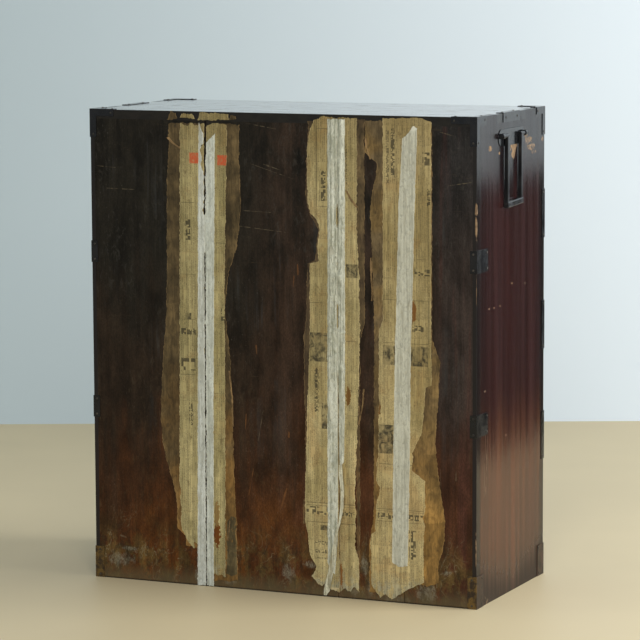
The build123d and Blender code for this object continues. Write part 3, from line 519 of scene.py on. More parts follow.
def printed_columns(s):
    """Upright columns of tiny marks between thin rules, like small print seen from across a room."""
    column_pitch, mark_pitch, block_pitch = 4.6 * MM, 2.4 * MM, 41 * MM
    across = s.calc("DIVIDE", s.x, column_pitch)
    along = s.calc("DIVIDE", s.z, mark_pitch)
    block = s.calc("DIVIDE", s.z, block_pitch)
    column, cell = s.calc("FLOOR", across), s.calc("FLOOR", along)
    column_share, cell_share, block_share = (s.calc("FRACT", value) for value in (across, along, block))
    parts = 3
    key_x = s.plus(s.whole(column_share, parts), column, parts)
    key_z = s.plus(s.whole(cell_share, parts), cell, parts)
    dots = s.step(s.random(key_x, key_z), 0.38, 0.5)
    inside = s.times(s.step(column_share, 0.14, 0.24), s.step(column_share, 0.92, 0.82))
    inside = s.times(inside, s.step(cell_share, 0.96, 0.84))
    length = s.span(s.random(column, s.calc("FLOOR", block)), 0.3, 1.7)
    written = s.step(s.calc("SUBTRACT", length, block_share), 0, 0.02)
    thin = s.times(s.box(0.02, 0.09, column_share, 0.01), s.step(s.random(column, 3), 0.3, 0.34), 0.38)
    level = s.step(s.apart(block_share, 0.5), 0.49, 0.495)
    return s.most(s.times(dots, inside, written, 0.6), thin, s.times(level, 0.3))


def heading_marks(s, tall):
    """A row of large abstract marks, each a few short bars."""
    across = s.calc("DIVIDE", s.x, tall * MM)
    along = s.calc("DIVIDE", s.z, tall * MM)
    parts = 5
    key_x, key_z = s.whole(across, parts), s.whole(along, parts)
    level = s.step(s.random(s.whole(key_x, 0.4), key_z), 0.5, 0.54)
    upright = s.step(s.random(key_x, s.whole(key_z, 0.4)), 0.66, 0.7)
    share = s.calc("FRACT", across)
    return s.times(s.most(level, upright), s.step(share, 0.04, 0.1), s.step(share, 0.96, 0.9))


def white_tape(name, bright, shade, crease):
    """Greyed white paper tape with creases, threads and a little dirt, with a painted highlight on its raised
    folds and painted shade in its wrinkles.
    """
    s = Shader(name, shade)
    fibre = s.noise((300, 300, 44), 4, 0.6)
    cloud = s.noise((60, 60, 22), 5, 0.65)
    folds = s.noise((190, 190, 7), 4, 0.6, 0.5, (9, 0, 2))
    wrinkle = s.noise((170, 170, 75), 4, 0.65, 1.2, (3, 0, 1))
    crack = s.noise((110, 110, 50), 3, 0.6, 1.6, (6, 0, 7))
    dirt = s.noise((60, 60, 16), 5, 0.65, 0.6, (2, 0, 4))
    # Brighter on the raised folds, a painted highlight, and in random clouds
    s.over(bright, s.step(s.plus(s.times(cloud, 0.4), folds, 0.6), 0.38, 0.6))
    # Darker in the wrinkles' hollows: painted shade
    s.over(tuple(value * 0.8 for value in shade), s.step(wrinkle, 0.5, 0.34), 0.5)
    s.over(tuple(value * 0.6 for value in shade), s.veins(crack, 0.012), s.step(cloud, 0.4, 0.6), 0.5)
    s.over((146, 134, 104), s.step(dirt, 0.57, 0.7), 0.4)
    s.over((132, 128, 110), s.step(fibre, 0.6, 0.74), 0.3)
    s.over((232, 230, 214), s.step(rim_of(s), 0.6, 1), 0.5)
    normal = s.bump(fibre, 0.0003, s.bump(wrinkle, crease, s.bump(folds, crease)))
    return s.finish(roughness=0.72, normal=normal, specular=0.3)


def plain(name, colour, roughness):
    """A plain stage surface with a faint unevenness."""
    s = Shader(name, tuple(value * 0.97 for value in colour))
    s.over(colour, s.step(s.noise(1.2, 3), 0.3, 0.7))
    return s.finish(roughness=roughness, specular=0.3)


# Putting materials on the CAD nodes


def dress(thing, material, bevel, edge):
    """Gives a CAD node its material and, where its edges are worn, a small bevel with its own material, which
    on iron is partly a painted highlight.
    """
    thing.data.materials.clear()
    thing.data.materials.append(material)
    if bevel:
        modifier = thing.modifiers.new("worn and highlit edges", "BEVEL")
        modifier.width = bevel * MM
        modifier.segments = 2
        modifier.limit_method = "ANGLE"
        modifier.angle_limit = math.radians(50)
        if edge:
            thing.data.materials.append(edge)
            modifier.material = 1


# Marks on the back, in millimetres: scratches and chips as x and z of both ends and a width
pale_scratches = [
    (82, 1023, 7, 1011, 0.8), (443, 921, 394, 918, 0.6), (416, 872, 345, 871, 0.8), (37, 935, -4, 923, 1.4),
    (67, 935, -33, 905, 0.6), (116, 801, -21, 789, 0.6), (110, 834, 14, 831, 0.6), (54, 328, 41, 400, 0.8),
    (-388, 900, -448, 910, 0.8), (-372, 1013, -403, 1005, 1.2), (-408, 296, -408, 274, 1.2),
    (395, 98, 378, 94, 2.2), (-370, 69, -411, 80, 2.2), (-391.7, 124, -371.6, 79, 1),
    (-408, 101, -428, 84, 1), (-434, 69, -445, 71, 1.4), (-205, 106, -187, 60, 1.4),
    (-372, 300, -374, 250, 0.6),
]
wood_chips = [
    (-42.7, 722, -43.7, 698, 2.2), (-34, 696, -31.5, 665, 1.6), (57, 542, 55, 520, 1.8),
    (82, 390, 84, 354, 1.4), (65, 272, 77, 210, 1), (-20, 356, -20, 343, 2.2), (-14, 232, 0, 186, 2.4),
]
# Dried paste: x, z, half width, half height
paste_residue = [
    (-18, 46, 16, 20), (-68, 68, 16, 9), (-383, 73, 13, 5), (-346, 26, 22, 24), (-196, 78, 10, 26),
    (-212, 30, 9, 22), (392, 44, 34, 16), (372, 70, 24, 5), (204, 20, 7, 16), (124, 15, 15, 9),
    (-174, 14, 10, 10), (-330, 20, 16, 14), (-270, 8, 40, 8),
]
# Places on the left side where the lacquer is worn through: y, z, half width, half height
side_face = -454.5
worn_face = [
    (-6, 972, 19, 15), (-3, 956, 10, 12), (136, 975, 9, 6), (-78, 990, 15, 6), (-96, 978, 22, 8),
    (-112, 962, 24, 7), (-132, 950, 13, 4), (82, 962, 5, 3.5), (-186, 975, 7, 6), (-78, 667, 2.5, 1.5),
    (142, 635, 3, 2), (112, 634, 2.5, 1.5), (76, 634, 2.5, 1.5), (3, 675, 2.5, 1.5), (165, 462, 3, 3),
    (38, 349, 2.5, 1.5),
]
worn_side = [((side_face, y, z), (9, wide, tall)) for y, z, wide, tall in worn_face]
worn_side += [((-453.6, 214.8, 850), (3, 5, 12)), ((-453.2, 214.8, 812), (2.6, 4, 24))]
# Scratches on and along its back edge, as two points and a width
side_scratches = [
    ((-454.5, 150, 366), (-454.5, 160, 238), 0.8),
    ((-454.5, 162, 378), (-454.5, 170, 218), 0.6),
    ((-454, 214.8, 724), (-454.1, 214.8, 650), 0.4),
    ((-453.6, 214.8, 167), (-453.7, 214.8, 91), 1.6),
]
side_material = case_lacquer("side_lacquer", worn_side, side_scratches)
frame_material = case_lacquer("frame_lacquer", tint=(60, 28, 22), gloss=0.2)
top_material = top_lacquer()
back_material = back_wood()
front_material = front_lacquer()
bare_material = bare_wood()
plate_material = iron("plate_iron", (19, 20, 22), 0.1, 0, 0.3, (40, 35, 30))
rusty_material = corner_iron()
handle_material = iron("handle_iron", (30, 31, 33), 0.16, 0.3, 0.22, (56, 46, 38))
nail_material = iron("nail_iron", (60, 58, 54), 0.3, 0.7, 0.3)
# The iron edges' bright wear doubles as a painted highlight along plates and handles
iron_edge_wear_and_highlight = worn_and_highlit_edge("iron_edge_wear_and_highlight", (40, 41, 43), (150, 150, 146), 0.52, 0.5, 0.34)
foot_edge = worn_and_highlit_edge("foot_edge", (30, 26, 22), (92, 76, 48), 0.5, 0.2, 0.4)
wood_edge = worn_and_highlit_edge("wood_edge", (34, 27, 24), (122, 106, 86), 0.4, 0, 0.4)

# Each node's look by a part of its name: material, bevel in millimetres and the worn edge's material, which
# on iron is partly a painted highlight
looks = (
    (side_material, 1.1, wood_edge, ("side_panel",)),
    (top_material, 1, wood_edge, ("top_board",)),
    (frame_material, 0.8, wood_edge, ("bottom_board", "rail", "centre_divider", "small_drawer_shelf")),
    (back_material, 0.6, None, ("back_board",)),
    (bare_material, 0.8, None, ("cupboard_shelf", "drawer_stops", "drawer_box")),
    (front_material, 1, wood_edge, ("drawer_front", "door_panel")),
    (plate_material, 0.5, iron_edge_wear_and_highlight, ("top_corner", "edge_straps", "handle_mount")),
    (plate_material, 0.5, iron_edge_wear_and_highlight, ("door_frame", "door_fittings")),
    (plate_material, 0.35, iron_edge_wear_and_highlight, ("drawer_fittings",)),
    (rusty_material, 0.5, foot_edge, ("bottom_corner",)),
    (handle_material, 0.7, iron_edge_wear_and_highlight, ("side_handle_left", "side_handle_right")),
    (handle_material, 0, None, ("_pull",)),
    (nail_material, 0, None, ("nails",)),
)
for node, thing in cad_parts.items():
    for material, bevel, edge, parts in looks:
        if any(part in node for part in parts):
            dress(thing, material, bevel, edge)


# Paper and tape on the back, in millimetres

# The relief that a strip's layers share, and each layer's slot, which nothing reads, and how far out its face
# is
LEFT, MIDDLE, RIGHT = 2, 14, 26
UNDER, PRINT, TAPE = ("newspaper", 0.3), ("newspaper", 0.75), ("paper_tape", 1.2)
# The sheets' mesh size, how far their underside is from the boards, and how wide their torn rim is
PITCH = 2.6
UNDERSIDE = 0.03
RIM = 4


def between(track, place):
    """The value at a place along a track of (place, value) pairs in rising order."""
    if place <= track[0][0]:
        return track[0][1]
    for (start, low), (end, high) in zip(track, track[1:]):
        if place <= end:
            return low + (high - low) * ((place - start) / (end - start))
    return track[-1][1]


def cut(track, bottom, top):
    """The part of a track between two heights."""
    inside = [(place, value) for place, value in track if bottom < place < top]
    return [(bottom, between(track, bottom)), *inside, (top, between(track, top))]


def shifted(track, by):
    """A track with all its values moved by the same distance."""
    return [(place, value + by) for place, value in track]


def rough(x, z, seed):
    """Noise from about -1 to 1 at a place in the plane."""
    return noise.noise(Vector((x, z, seed)))


def fold(x, z, seed, sharpness):
    """Narrow ridges, from 0 to 1, where a noise passes its middle."""
    return (1 - abs(rough(x, z, seed))) ** sharpness


def torn(place, seed, amplitude):
    """How far a torn edge strays at a place along it."""
    wide = rough(place * 0.045, 0, seed) * 1.5
    middle = rough(place * 0.17, 3, seed) * 1.1
    small = rough(place * 0.6, 7, seed) * 0.9
    return (wide + middle + small) * amplitude


def pasted(x, z, seed):
    """The relief that all the layers of one strip share: bubbles, and creases that run up and down."""
    bubble = 0.3 + rough(x * 0.05, z * 0.012, seed) * 0.5
    crease = fold(x * 0.11, z * 0.009, seed + 5, 14)
    cross = fold(x * 0.02, z * 0.045, seed + 9, 22)
    grit = rough(x * 0.5, z * 0.22, seed + 13) * 0.08
    return max(0, bubble + crease * 0.6 + cross * 0.35 + grit)


def crumpled(x, z, seed):
    """The further relief of tape that was pushed down unevenly."""
    ridge = fold(x * 0.16, z * 0.02, seed, 8)
    bend = fold(x * 0.09 + z * 0.03, z * 0.05, seed + 4, 12)
    slant = fold(x * 0.06 - z * 0.05, z * 0.03, seed + 6, 16)
    lump = rough(x * 0.12, z * 0.07, seed + 8)
    return max(0, ridge * 1.1 + bend * 0.9 + slant * 0.7 + lump * 0.5)


def upright_fold(tall, low_from, low_to):
    """A tape that stands up in the middle like a pinched fold, less so below a height."""
    def rise(across, z):
        swell = math.sin(math.pi * min(1, max(0, across))) ** 0.8
        share = 0.35 + 0.65 * min(1, max(0, (z - low_from) / (low_to - low_from)))
        return tall * share * swell * (0.8 + 0.5 * rough(z * 0.02, across, 31))
    return rise


def add(name, data):
    """A new object in the scene."""
    made = bpy.data.objects.new(name, data)
    bpy.context.scene.collection.objects.link(made)
    return made


def closed_shell(name, tops, bottoms, rims, material):
    """A closed mesh between two grids of points, with the closeness to its edge kept for the shader."""
    rows, columns = len(tops), len(tops[0])
    lower = rows * columns
    faces = []
    for row in range(rows - 1):
        for column in range(columns - 1):
            a = row * columns + column
            b, c, d = a + 1, a + columns + 1, a + columns
            faces.append((a, b, c, d))
            faces.append((lower + a, lower + d, lower + c, lower + b))
    ring = list(range(columns))
    ring += [row * columns + columns - 1 for row in range(1, rows)]
    ring += [(rows - 1) * columns + column for column in range(columns - 2, -1, -1)]
    ring += [row * columns for row in range(rows - 2, 0, -1)]
    for first, second in zip(ring, ring[1:] + ring[:1]):
        faces.append((second, first, lower + first, lower + second))
    mesh = bpy.data.meshes.new(name)
    mesh.from_pydata([Vector(point) * MM for row in tops + bottoms for point in row], [], faces)
    values = [value for row in rims for value in row]
    attribute = mesh.attributes.new("rim", "FLOAT", "POINT")
    attribute.data.foreach_set("value", values + values)
    mesh.polygons.foreach_set("use_smooth", [True] * len(mesh.polygons))
    mesh.set_sharp_from_angle(angle=math.radians(48))
    mesh.materials.append(material)
    return add(name, mesh)


def lay(name, left, right, material, layer, strip, seed, foot=((0, 0),), head=((0, 0),), tear=(1.6, 1.6),
        crush=0, bulge=None):
    """A pasted sheet on the back, between a left and a right edge that are (height, place) tracks.

    The foot and the head are tracks too: how much higher the sheet ends, from its left side to its right.
    """
    slot, lift = layer
    bottom, top = left[0][0], left[-1][0]
    width = max(abs(place - between(right, height)) for height, place in left)
    rows = int((top - bottom) / PITCH) + 1
    columns = max(6, int(width / PITCH))
    tops, bottoms, rims = [], [], []
    for row in range(rows + 1):
        up = row / rows
        for sheet_rows in (tops, bottoms, rims):
            sheet_rows.append([])
        for column in range(columns + 1):
            across = column / columns
            ends = (1 - up) ** 3 * between(foot, across) + up ** 3 * between(head, across)
            ends += (1 - up) ** 6 * torn(across * width, seed + 21, 2)
            ends += up ** 6 * torn(across * width, seed + 27, 2)
            z = bottom + (top - bottom) * up + ends
            start = between(left, z) + torn(z, seed, tear[0])
            end = between(right, z) + torn(z, seed + 11, tear[1])
            x = start + (end - start) * across
            near = min(min(across, 1 - across) * abs(end - start), z - bottom + RIM, top - z + RIM)
            close = max(0, 1 - near / RIM)
            rise = lift + pasted(x, z, strip)
            if crush:
                rise += crumpled(x, z, seed) * crush * (1 - close * 0.6)
            if bulge:
                rise += bulge(across, z)
            tops[-1].append((x, back + rise, z))
            bottoms[-1].append((x, back + UNDERSIDE, z))
            rims[-1].append(close)
    made = closed_shell(name, tops, bottoms, rims, material)
    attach(made, "case")


left_brown = brown_paper("brown_paper_left", (74, 62, 40), (98, 82, 54), (148, 110, 56))
middle_brown = brown_paper("brown_paper_middle", (78, 64, 46), (98, 82, 56), (118, 90, 54))
right_brown = brown_paper("brown_paper_right", (106, 90, 63), (120, 98, 60), (158, 120, 60))
left_print = newspaper(
    "newspaper_left", (190, 176, 127), (157, 145, 100),
    headings=[(200, 557, 238, 571), (203, 478, 238, 505), (210, 357, 219, 407), (212, 765, 227, 810),
        (127, 591, 140, 618)],
    pictures=[(212, 590, 226, 605)],
    frames=[(202, 590, 240, 690, 0.9), (120, 430, 160, 520, 0.8)],
    rules=[(203, 846, 234, 847.6), (120, 760, 150, 761.4), (203, 468, 240, 469.4)],
    seals=[(187.8, 932.2, 212.8, 955.5), (120.6, 929.7, 145.5, 951.8)],
    tears=[(154, 118, 8, 30, (112, 66, 24)), (154, 166, 6, 27, (142, 116, 70))],
)
middle_print = newspaper(
    "newspaper_middle", (197, 181, 132), (166, 150, 103),
    headings=[(-160, 896, -154, 982), (-176, 180, -142, 190), (-113, 180, -61, 197), (-117, 114, -82, 122),
        (-117, 95, -82, 103), (-117, 82, -84, 86), (-92, 404, -82, 500), (-110, 860, -96, 924)],
    pictures=[(-113.1, 513.4, -71.2, 576.3), (-114, 146, -94, 157), (-114.7, 367.9, -98.6, 423.6),
        (-183.9, 697.7, -156.2, 726.6)],
    frames=[(-130, 847.3, -87.8, 1015.3, 1.2), (-184, 250, -156, 400, 0.8)],
    rules=[(-177, 204.6, -62, 206.4), (-177, 199, -62, 200.2), (-177, 162, -62, 163.6),
        (-110, 640, -66, 641.4), (-184, 560, -156, 561.4)],
    tears=[(-142.5, 54, 3.6, 28, (140, 94, 46)), (-161, 442, 5, 20, (120, 88, 44))],
)
right_print = newspaper(
    "newspaper_right", (192, 174, 125), (162, 144, 97),
    headings=[(-335, 181, -228, 194), (-271, 920, -261, 1018), (-256, 900, -249, 1014),
        (-349, 942, -333, 970), (-351, 856, -342, 896), (-337, 588, -306, 602), (-350, 708, -314, 722),
        (-317, 97, -301, 160)],
    pictures=[(-344.4, 514.7, -241.2, 556.6), (-266, 323.1, -226.8, 385.5)],
    frames=[(-346.7, 561.8, -241.5, 655.2, 1.2), (-346, 742, -318, 880, 0.9)],
    rules=[(-335, 202, -226, 203.6), (-335, 198.4, -226, 199.4), (-335, 175.4, -226, 176.8),
        (-264, 700, -244, 701.4), (-330, 300, -232, 301.4)],
    tears=[(-313, 630, 4.5, 22, (122, 84, 42)), (-232, 420, 4, 16, (118, 86, 44))],
)
left_white = white_tape("white_tape", (222, 226, 218), (184, 187, 176), 0.0014)
left_grey = white_tape("grey_tape", (220, 225, 214), (184, 188, 176), 0.0014)
crumpled_tape = white_tape("crumpled_tape", (233, 235, 218), (160, 163, 143), 0.003)
cool_tape = white_tape("cool_tape", (212, 212, 194), (178, 177, 160), 0.0014)
ribbon_paper = white_tape("ribbon_paper", (240, 238, 212), (166, 160, 132), 0.0034)
curled_paper = brown_paper("curled_paper", (112, 90, 60), (150, 122, 84), (128, 100, 64))
remnant_paper = brown_paper("remnant_paper", (92, 80, 54), (108, 94, 62), (96, 84, 56))

# The left strip: its papers are split along the open seam between the boards
left_seam = [(0, 180.8), (402.1, 179.2), (801.2, 176.8), (1043, 173.9)]
left_seam_near = shifted(left_seam, 2.9)
left_seam_far = shifted(left_seam, -2.9)
brown_left_edge = [
    (88, 231), (109, 232), (118, 241.5), (125, 250.9), (144.9, 252.2), (169.9, 250.4), (199.6, 254.2),
    (231.3, 262), (245.9, 268), (313.8, 285.4), (380.8, 289.3), (494.7, 283), (585.6, 273.9),
    (660.5, 270.7), (885, 268.3), (974.7, 262.2), (1020.5, 264.1),
]
brown_left_far = [
    (14.6, 105.1), (143.6, 107), (234.5, 110.9), (369.3, 114.7), (503.1, 118.5), (622.8, 131.4),
    (699.5, 120.3), (757.4, 100.2), (847, 90.1), (935.7, 93.9), (1020.3, 93.8),
]
lay("left_brown_outer", brown_left_edge, cut(left_seam_near, 88, 1020), left_brown, UNDER, LEFT, 3,
    foot=((0, 0), (0.4, -4), (1, -6)), head=((0, -4), (0.4, 0), (1, -3)))
lay("left_brown_inner", cut(left_seam_far, 12, 1020), brown_left_far, left_brown, UNDER, LEFT, 4,
    foot=((0, 0), (1, 6)), head=((0, -3), (0.5, 1), (1, -2)))
lay("left_news_outer",
    [(83, 229), (96, 235), (123.3, 241.4), (158.3, 241), (232.5, 244.3), (631.6, 239.7), (1021.5, 235)],
    cut(left_seam_near, 83, 1021), left_print, PRINT, LEFT, 6,
    foot=((0, 38), (0.1, 30), (0.19, 16), (0.27, 7), (0.36, -2), (0.43, 2), (0.46, 13), (0.52, 16),
     (0.6, 10), (1, 6)), head=((0, -2), (0.3, -9), (0.45, -1), (0.6, -8), (1, -1)), tear=(1.6, 1))
lay("left_news_inner", cut(left_seam_far, 24, 1021),
    [(26.5, 135.2), (416.2, 131.7), (666.6, 131.3), (1021.3, 121.9)], left_print, PRINT, LEFT, 8,
    foot=((0, 2), (0.2, -2), (0.4, 6), (0.6, 1), (0.8, 5), (1, -1)), head=((0, -8), (0.4, 0), (1, -3)),
    tear=(1, 1.6))
# How far each half of the tape stays from the seam: whole in one stretch, crushed and broken above it
near_gap = [
    (2, 1.4), (600, 1.6), (736, 1.8), (745, -0.2), (818, -0.2), (824, 4), (832, 5.5), (840, 1.5),
    (848, 4.5), (858, 1), (868, 3.5), (880, 0.8), (892, 4), (905, 1.6), (918, 6), (930, 10), (945, 8),
    (960, 12), (971, 9), (976, 3.5), (1012, 6),
]
far_gap = [
    (2, 1.2), (736, 1.4), (745, 0.2), (818, 0.2), (826, 2), (850, 0.8), (870, 3), (890, 1.2), (915, 2.4),
    (930, 0.6), (950, 2.8), (992, 3),
]
near_edge = [(z, between(left_seam, z) + gap) for z, gap in near_gap]
far_edge = [(z, between(left_seam, z) - gap) for z, gap in far_gap]
lay("left_tape_outer", [(2, 202.5), (413, 197.9), (861, 192.7), (1012.5, 188.9)], near_edge, left_white,
    TAPE, LEFT, 10, head=((0, 8), (1, -14)), tear=(0.8, 1.4), crush=0.8)
lay("left_tape_inner", far_edge, [(2, 163.3), (415.1, 159.7), (998.5, 150.9)], left_grey, TAPE, LEFT, 12,
    head=((0, -14), (1, 6)), tear=(1.2, 0.8), crush=0.7)

# The middle strip
middle_left = [
    (25, -89), (36, -80), (42, -72), (49, -78.5), (66.4, -84.1), (78.1, -76.1), (84, -70.5), (104.3, -67),
    (136.1, -64.6), (152.7, -59.5), (208.9, -57.7), (307.8, -60.9), (417.3, -64.4), (548.1, -71),
    (580.7, -71.2), (725, -72.1), (729.5, -92.7), (764.9, -89.9), (780, -93.5), (797.4, -95.9),
    (821.1, -87.4), (834.1, -72.7), (871.5, -67.1), (978.5, -67.7), (1010.7, -73.8), (1038, -86),
]
middle_right = [
    (13.3, -184.1), (75.1, -184.1), (92, -183), (114, -174.4), (166, -177), (231.7, -175.2),
    (343.3, -180.3), (466.9, -185.3), (607.2, -188.4), (703.7, -186.5), (800.2, -181.6), (1037.7, -182.7),
]
middle_seam = [
    (0, -139.6), (207.6, -138.7), (602.2, -137.9), (1043, -137.5),
]
lay("middle_brown_outer",
    [(156, -53), (208, -53.2), (214, -58), (400, -60), (420, -57.4), (560, -56.8), (600, -61.7),
     (724, -66.8), (731, -84), (764, -88), (800, -92), (830, -73), (868, -62.5), (1030, -70)],
    cut(shifted(middle_seam, 12), 156, 1030), middle_brown, UNDER, MIDDLE, 15)
lay("middle_news_outer", middle_left, cut(shifted(middle_seam, 1), 25, 1038), middle_print, PRINT, MIDDLE,
    16, foot=((0, 2), (0.15, -3), (0.3, 3), (0.45, -4), (0.7, -10), (1, -12)),
    head=((0, -6), (0.3, 2), (1, 0)), tear=(1.6, 0.5))
lay("middle_news_inner", cut(shifted(middle_seam, -1), 14, 1038), cut(middle_right, 14, 1038),
    middle_print, PRINT, MIDDLE, 18,
    foot=((0, 0), (0.14, 5), (0.28, 9), (0.4, 3), (0.6, 2), (0.7, 12), (0.86, 9), (1, 4)),
    tear=(0.5, 1.8))
lay("middle_brown_inner", [(20.2, -179.1), (1035.7, -179.7)],
    [(20.3, -186.1), (562.4, -188.4), (602.3, -199.4), (1035.7, -199.6)], middle_brown, UNDER, MIDDLE, 20)
lay("middle_tape_outer", [(56, -111.2), (159.6, -111.3), (602.1, -113.1), (1035.8, -114.9)],
    [(56, -128), (120, -134), (203.6, -135.8), (470, -136.2), (500, -136.9), (585, -136.9), (592, -135.4),
     (636, -135), (642, -136.9), (801.2, -136.9), (815.1, -134.3), (837, -133.9), (856.9, -136.6),
     (1035.8, -136.6)], crumpled_tape, ("paper_tape", 1.3), MIDDLE, 22, foot=((0, 18), (0.5, 4), (1, -6)),
    tear=(0.8, 0.5), crush=1.1, bulge=upright_fold(4.6, 380, 640))
lay("middle_tape_inner",
    [(288, -140.3), (343.2, -139.4), (480, -138.6), (505, -137.1), (585, -137.1), (592, -138.8),
     (636, -139), (642, -137.1), (801.2, -137.2), (815.1, -139.5), (837, -139.9), (856.9, -137.2),
     (1035.8, -137)], [(288, -150), (420, -153), (602.2, -154), (1035.8, -155.3)], crumpled_tape,
    ("paper_tape", 1.3), MIDDLE, 24, foot=((0, -6), (1, 10)), tear=(0.5, 0.8), crush=1.2,
    bulge=upright_fold(4, 380, 640))

# The right strip
right_news_left = [
    (12, -222), (34.8, -213), (145.1, -212.1), (152, -223), (201.3, -224.7), (220.7, -227.5),
    (247.3, -234.8), (264, -224.9), (346.5, -231.2), (587.4, -232.3), (609.3, -241.3), (1039.6, -242.4),
]
right_news_right = [
    (12, -300), (50, -334.3), (149.6, -334.4), (172.1, -337.2), (187.3, -332.6), (204.6, -337.2),
    (269.2, -337.8), (289, -307.9), (331.8, -309.9), (373.7, -330.8), (471.2, -339.8), (476.2, -353.7),
    (572.7, -351.8), (1039.4, -351.9),
]
lay("right_brown",
    [(14.4, -209), (124.1, -208.1), (184, -219.1), (609.3, -221.3), (781.3, -215.4), (850.9, -212.5),
     (888.6, -219.5), (915.5, -226.5), (944.3, -228.5), (958.2, -209.5), (968.1, -201.6), (1033.7, -200.6)],
    [(15.3, -360), (62.8, -368.8), (95.4, -368.8), (117.7, -377.3), (161.4, -383), (185.6, -383),
     (233.6, -376), (273.7, -368.9), (354.9, -360.7), (440.4, -367.7), (529, -371.6), (572.7, -353.7),
     (979.8, -353.8), (1033.4, -352.8)], right_brown, UNDER, RIGHT, 27, head=((0, -2), (0.5, 2), (1, -6)),
    foot=((0, 4), (0.4, 8), (0.6, 26), (0.7, 34), (0.86, 26), (1, 36)))
lay("right_news", right_news_left, right_news_right, right_print, PRINT, RIGHT, 28,
    foot=((0, 20), (0.15, -4), (0.3, 4), (0.5, -6), (0.65, 2), (0.8, 18), (1, 34)),
    head=((0, 0), (0.8, 2), (0.9, -3), (1, -8)))
lay("right_tape",
    [(82.5, -262), (302.8, -265), (568.5, -270.1), (611.3, -272.1), (858.8, -278.2), (1011.7, -288.2)],
    [(82.7, -297.8), (305.9, -302.9), (569.6, -306), (612.4, -308), (859.8, -315), (1011.6, -320.5)],
    cool_tape, TAPE, RIGHT, 30, foot=((0, 6), (0.5, -4), (1, 0)), head=((0, -14), (1, 20)),
    tear=(0.7, 0.7), crush=0.7)

replaced = {
    "left_brown_outer": "seam_paper_left",
    "left_tape_outer": "seam_tape_left",
    "middle_news_outer": "seam_paper_middle",
    "middle_tape_outer": "seam_tape_middle",
    "right_news": "seam_paper_right",
    "right_tape": "seam_tape_right",
}
for piece, node in replaced.items():
    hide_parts(node)


def ribbon(name, track, material, seed):
    """The end of the tape that has come away: a narrow twisted strip; track holds (x, z, width, rise)."""
    steps, columns, thickness = 90, 6, 0.55
    places = [index / (len(track) - 1) for index in range(len(track))]
    parts = [list(zip(places, part)) for part in zip(*track)]
    tops, bottoms, rims = [], [], []
    for row in range(steps + 1):
        along = row / steps
        x, z, width, rise = (between(part, along) for part in parts)
        twist = 0.9 * rough(along * 5, 0, seed) + 0.5 * math.sin(along * 9)
        x += rough(along * 7, 2, seed) * 0.9
        top_row = []
        for column in range(columns + 1):
            across = (column / columns - 0.5) * width
            curl = 0.9 * math.cos(across / width * math.pi) + rough(along * 22, across * 0.3, seed) * 0.5
            out = back + rise + abs(across * math.sin(twist)) * 0.6 + curl
            top_row.append((x - across * math.cos(twist), out, z))
        tops.append(top_row)
        bottoms.append([(place, out - thickness, z) for place, out, z in top_row])
        rims.append([0.6, *[0] * (columns - 1), 0.6])
    made = closed_shell(name, tops, bottoms, rims, material)
    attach(made, "case")


ribbon_track = [
    (-104.8, 3, 6, 2), (-109, 14, 14, 2.6), (-112.8, 27.2, 16, 3), (-119.5, 57, 13.5, 3.4),
    (-124.9, 91.5, 11, 4.4), (-130.2, 116.6, 9, 5.4), (-135.5, 148.6, 4.5, 6), (-141, 166.1, 5, 5.6),
    (-146.4, 200.4, 7.5, 4.4), (-147, 240, 9, 3.4), (-143.5, 270, 9, 2.8), (-142.5, 291.2, 8, 2.4),
]
ribbon("middle_tape_ribbon", ribbon_track, ribbon_paper, 41)

# Scraps on the edge of the top board
scraps = (
    ("scrap_left", 238, 264, 1027, 1042, left_brown),
    ("scrap_left_middle", 196, 236, 1030, 1040, left_print),
    ("scrap_left_seam", 112, 192, 1027, 1042, left_print),
    ("scrap_left_far", 96, 116, 1029, 1039, left_brown),
)
for name, x_far, x_near, bottom, top, material in scraps:
    lay(name, [(bottom, x_near), (top, x_near - 5)], [(bottom, x_far + 3), (top, x_far + 8)], material,
        ("newspaper", 0.5), LEFT, x_near * 0.1)
# Torn slivers that curl away from the edges, each a track and a width
slivers = (
    ("curled_flap", [(964.7, 235.7), (977.3, 255), (986.9, 263.9)], 6),
    ("curled_edge_high", [(952, -213.5), (962, -209.5), (979.7, -204.4), (996, -203.4)], 3),
    ("curled_edge_middle", [(650, -215.5), (672, -217.5), (700, -215), (741.7, -214.1)], 3),
    ("curled_edge_low", [(380.9, -185), (425, -194), (459.5, -196.9)], 2.6),
    ("curled_edge_near", [(360, 113), (425, 114.5), (482, 122)], 2.2),
    ("curled_edge_tape", [(849.5, -182.1), (866, -168), (884.7, -158)], 5),
)
for number, (name, track, width) in enumerate(slivers):
    lay(name, shifted(track, width / 2), shifted(track, -width / 2), curled_paper, ("newspaper", 1.1),
        60 + number, 70 + number, tear=(1.2, 1.2), crush=0.9)
# Remains along the foot
lay("grey_remnant", [(26, 133), (60, 131), (158, 130.4)], [(26, 106), (158, 108.5)], remnant_paper,
    ("newspaper", 0.45), LEFT, 52, foot=((0, 6), (0.6, 0), (1, 8)), head=((0, -12), (0.5, 2), (1, 0)))
lay("grey_remnant_sliver", [(106, 130), (128, 127.6), (150, 123.4)],
    [(106, 127.6), (128, 124), (150, 121.2)], curled_paper, ("newspaper", 0.7), LEFT, 54, tear=(0.3, 0.3))


# Stage, light and camera, in metres

FLOOR_REACH = 9
WALL_DISTANCE = 9.2
WALL_HEIGHT = 4


def stage_plane(name, corners, material):
    """A flat stage surface from its four corners."""
    mesh = bpy.data.meshes.new(name)
    mesh.from_pydata(corners, [], [(0, 1, 2, 3)])
    mesh.materials.append(material)
    made = add(name, mesh)
    return made


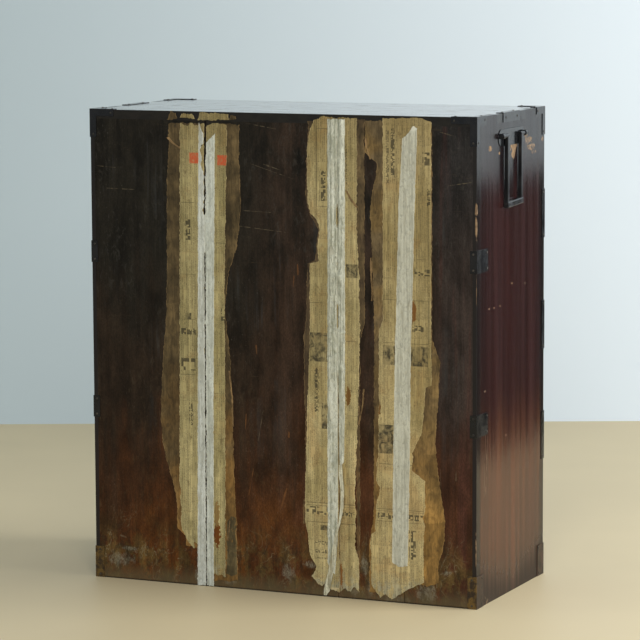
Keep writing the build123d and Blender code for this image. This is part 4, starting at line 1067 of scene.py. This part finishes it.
def wall_paint():
    """A pale wall with painted light, a little brighter towards the window, that can be seen through from
    behind.
    """
    s = Shader("wall", (189, 204, 210))
    # Painted light: the wall grows brighter towards the window side
    s.over((230, 240, 250), s.step(s.x, 2.2, -0.6))
    material = s.finish(roughness=0.9)
    behind = s.node("ShaderNodeNewGeometry", {}).outputs["Backfacing"]
    clear = s.node("ShaderNodeBsdfTransparent", {}).outputs[0]
    mixed = s.node("ShaderNodeMixShader", {0: behind, 1: s.surface.outputs[0], 2: clear})
    output = next(node for node in s.tree.nodes if node.type == "OUTPUT_MATERIAL")
    s.feed(output.inputs["Surface"], mixed.outputs[0])
    return material


# The camera's place, direction and roll come from the corners of the chest in the photo
camera_place = Vector((-2.8499, 6.4285 + case_middle_y, 1.4621))
camera_forward = Vector((0.4017, -0.9072, -0.1252)).normalized()
camera_roll = math.radians(-0.289)
camera_data = bpy.data.cameras.new("camera")
camera_data.lens = 179.85
camera_data.sensor_width = 36
camera = add("camera", camera_data)
turn = camera_forward.to_track_quat("-Z", "Y").to_matrix().to_4x4()
camera.matrix_world = Matrix.Translation(camera_place) @ turn @ Matrix.Rotation(camera_roll, 4, "Z")
bpy.context.scene.camera = camera

floor_material = plain("floor", (218, 200, 161), 0.5)
far, near = FLOOR_REACH, -FLOOR_REACH
stage_plane("floor", [(near, near, 0), (far, near, 0), (far, far, 0), (near, far, 0)], floor_material)

# The wall faces the camera's side of the room
level = Vector((camera_forward.x, camera_forward.y, 0)).normalized()
aside = Vector((-level.y, level.x, 0)) * FLOOR_REACH
wall_foot = Vector((camera_place.x, camera_place.y, 0)) + level * WALL_DISTANCE
wall_top = wall_foot + Vector((0, 0, WALL_HEIGHT))
wall_corners = [wall_foot + aside, wall_foot - aside, wall_top - aside, wall_top + aside]
stage_plane("wall", wall_corners, wall_paint())

# A dark board that the camera doesn't see: only the chest's side mirrors it
flag_x, flag_near, flag_far, flag_height = -1.12, -1.2, -2.7, 0.77
flag_corners = [(flag_x, flag_near, 0), (flag_x, flag_far, 0), (flag_x, flag_far, flag_height),
                (flag_x, flag_near, flag_height)]
flag = stage_plane("flag", flag_corners, plain("flag", (38, 33, 31), 0.9))
flag.visible_camera = False
flag.visible_shadow = False
flag.visible_diffuse = False


def area_light(name, place, target, size, power, colour):
    """A soft lamp that faces a target."""
    data = bpy.data.lights.new(name, "AREA")
    data.shape = "RECTANGLE"
    data.size, data.size_y = size
    data.energy = power
    data.color = colour
    lamp = add(name, data)
    lamp.location = place
    lamp.rotation_euler = (Vector(target) - Vector(place)).to_track_quat("-Z", "Y").to_euler()


area_light("window", (-4.2, -0.6, 2.2), (0, 0, 0.5), (2.4, 2.6), 182, (0.95, 0.98, 1))
area_light("room", (-2, 4.2, 2.9), (0, 0, 0.4), (1.8, 1.6), 84, (1, 0.97, 0.92))

world = bpy.data.worlds.new("world")
bpy.context.scene.world = world
world.use_nodes = True
background = world.node_tree.nodes["Background"]
background.inputs["Color"].default_value = (0.86, 0.93, 1, 1)
background.inputs["Strength"].default_value = 0.47
bpy.context.scene.view_settings.view_transform = "Standard"
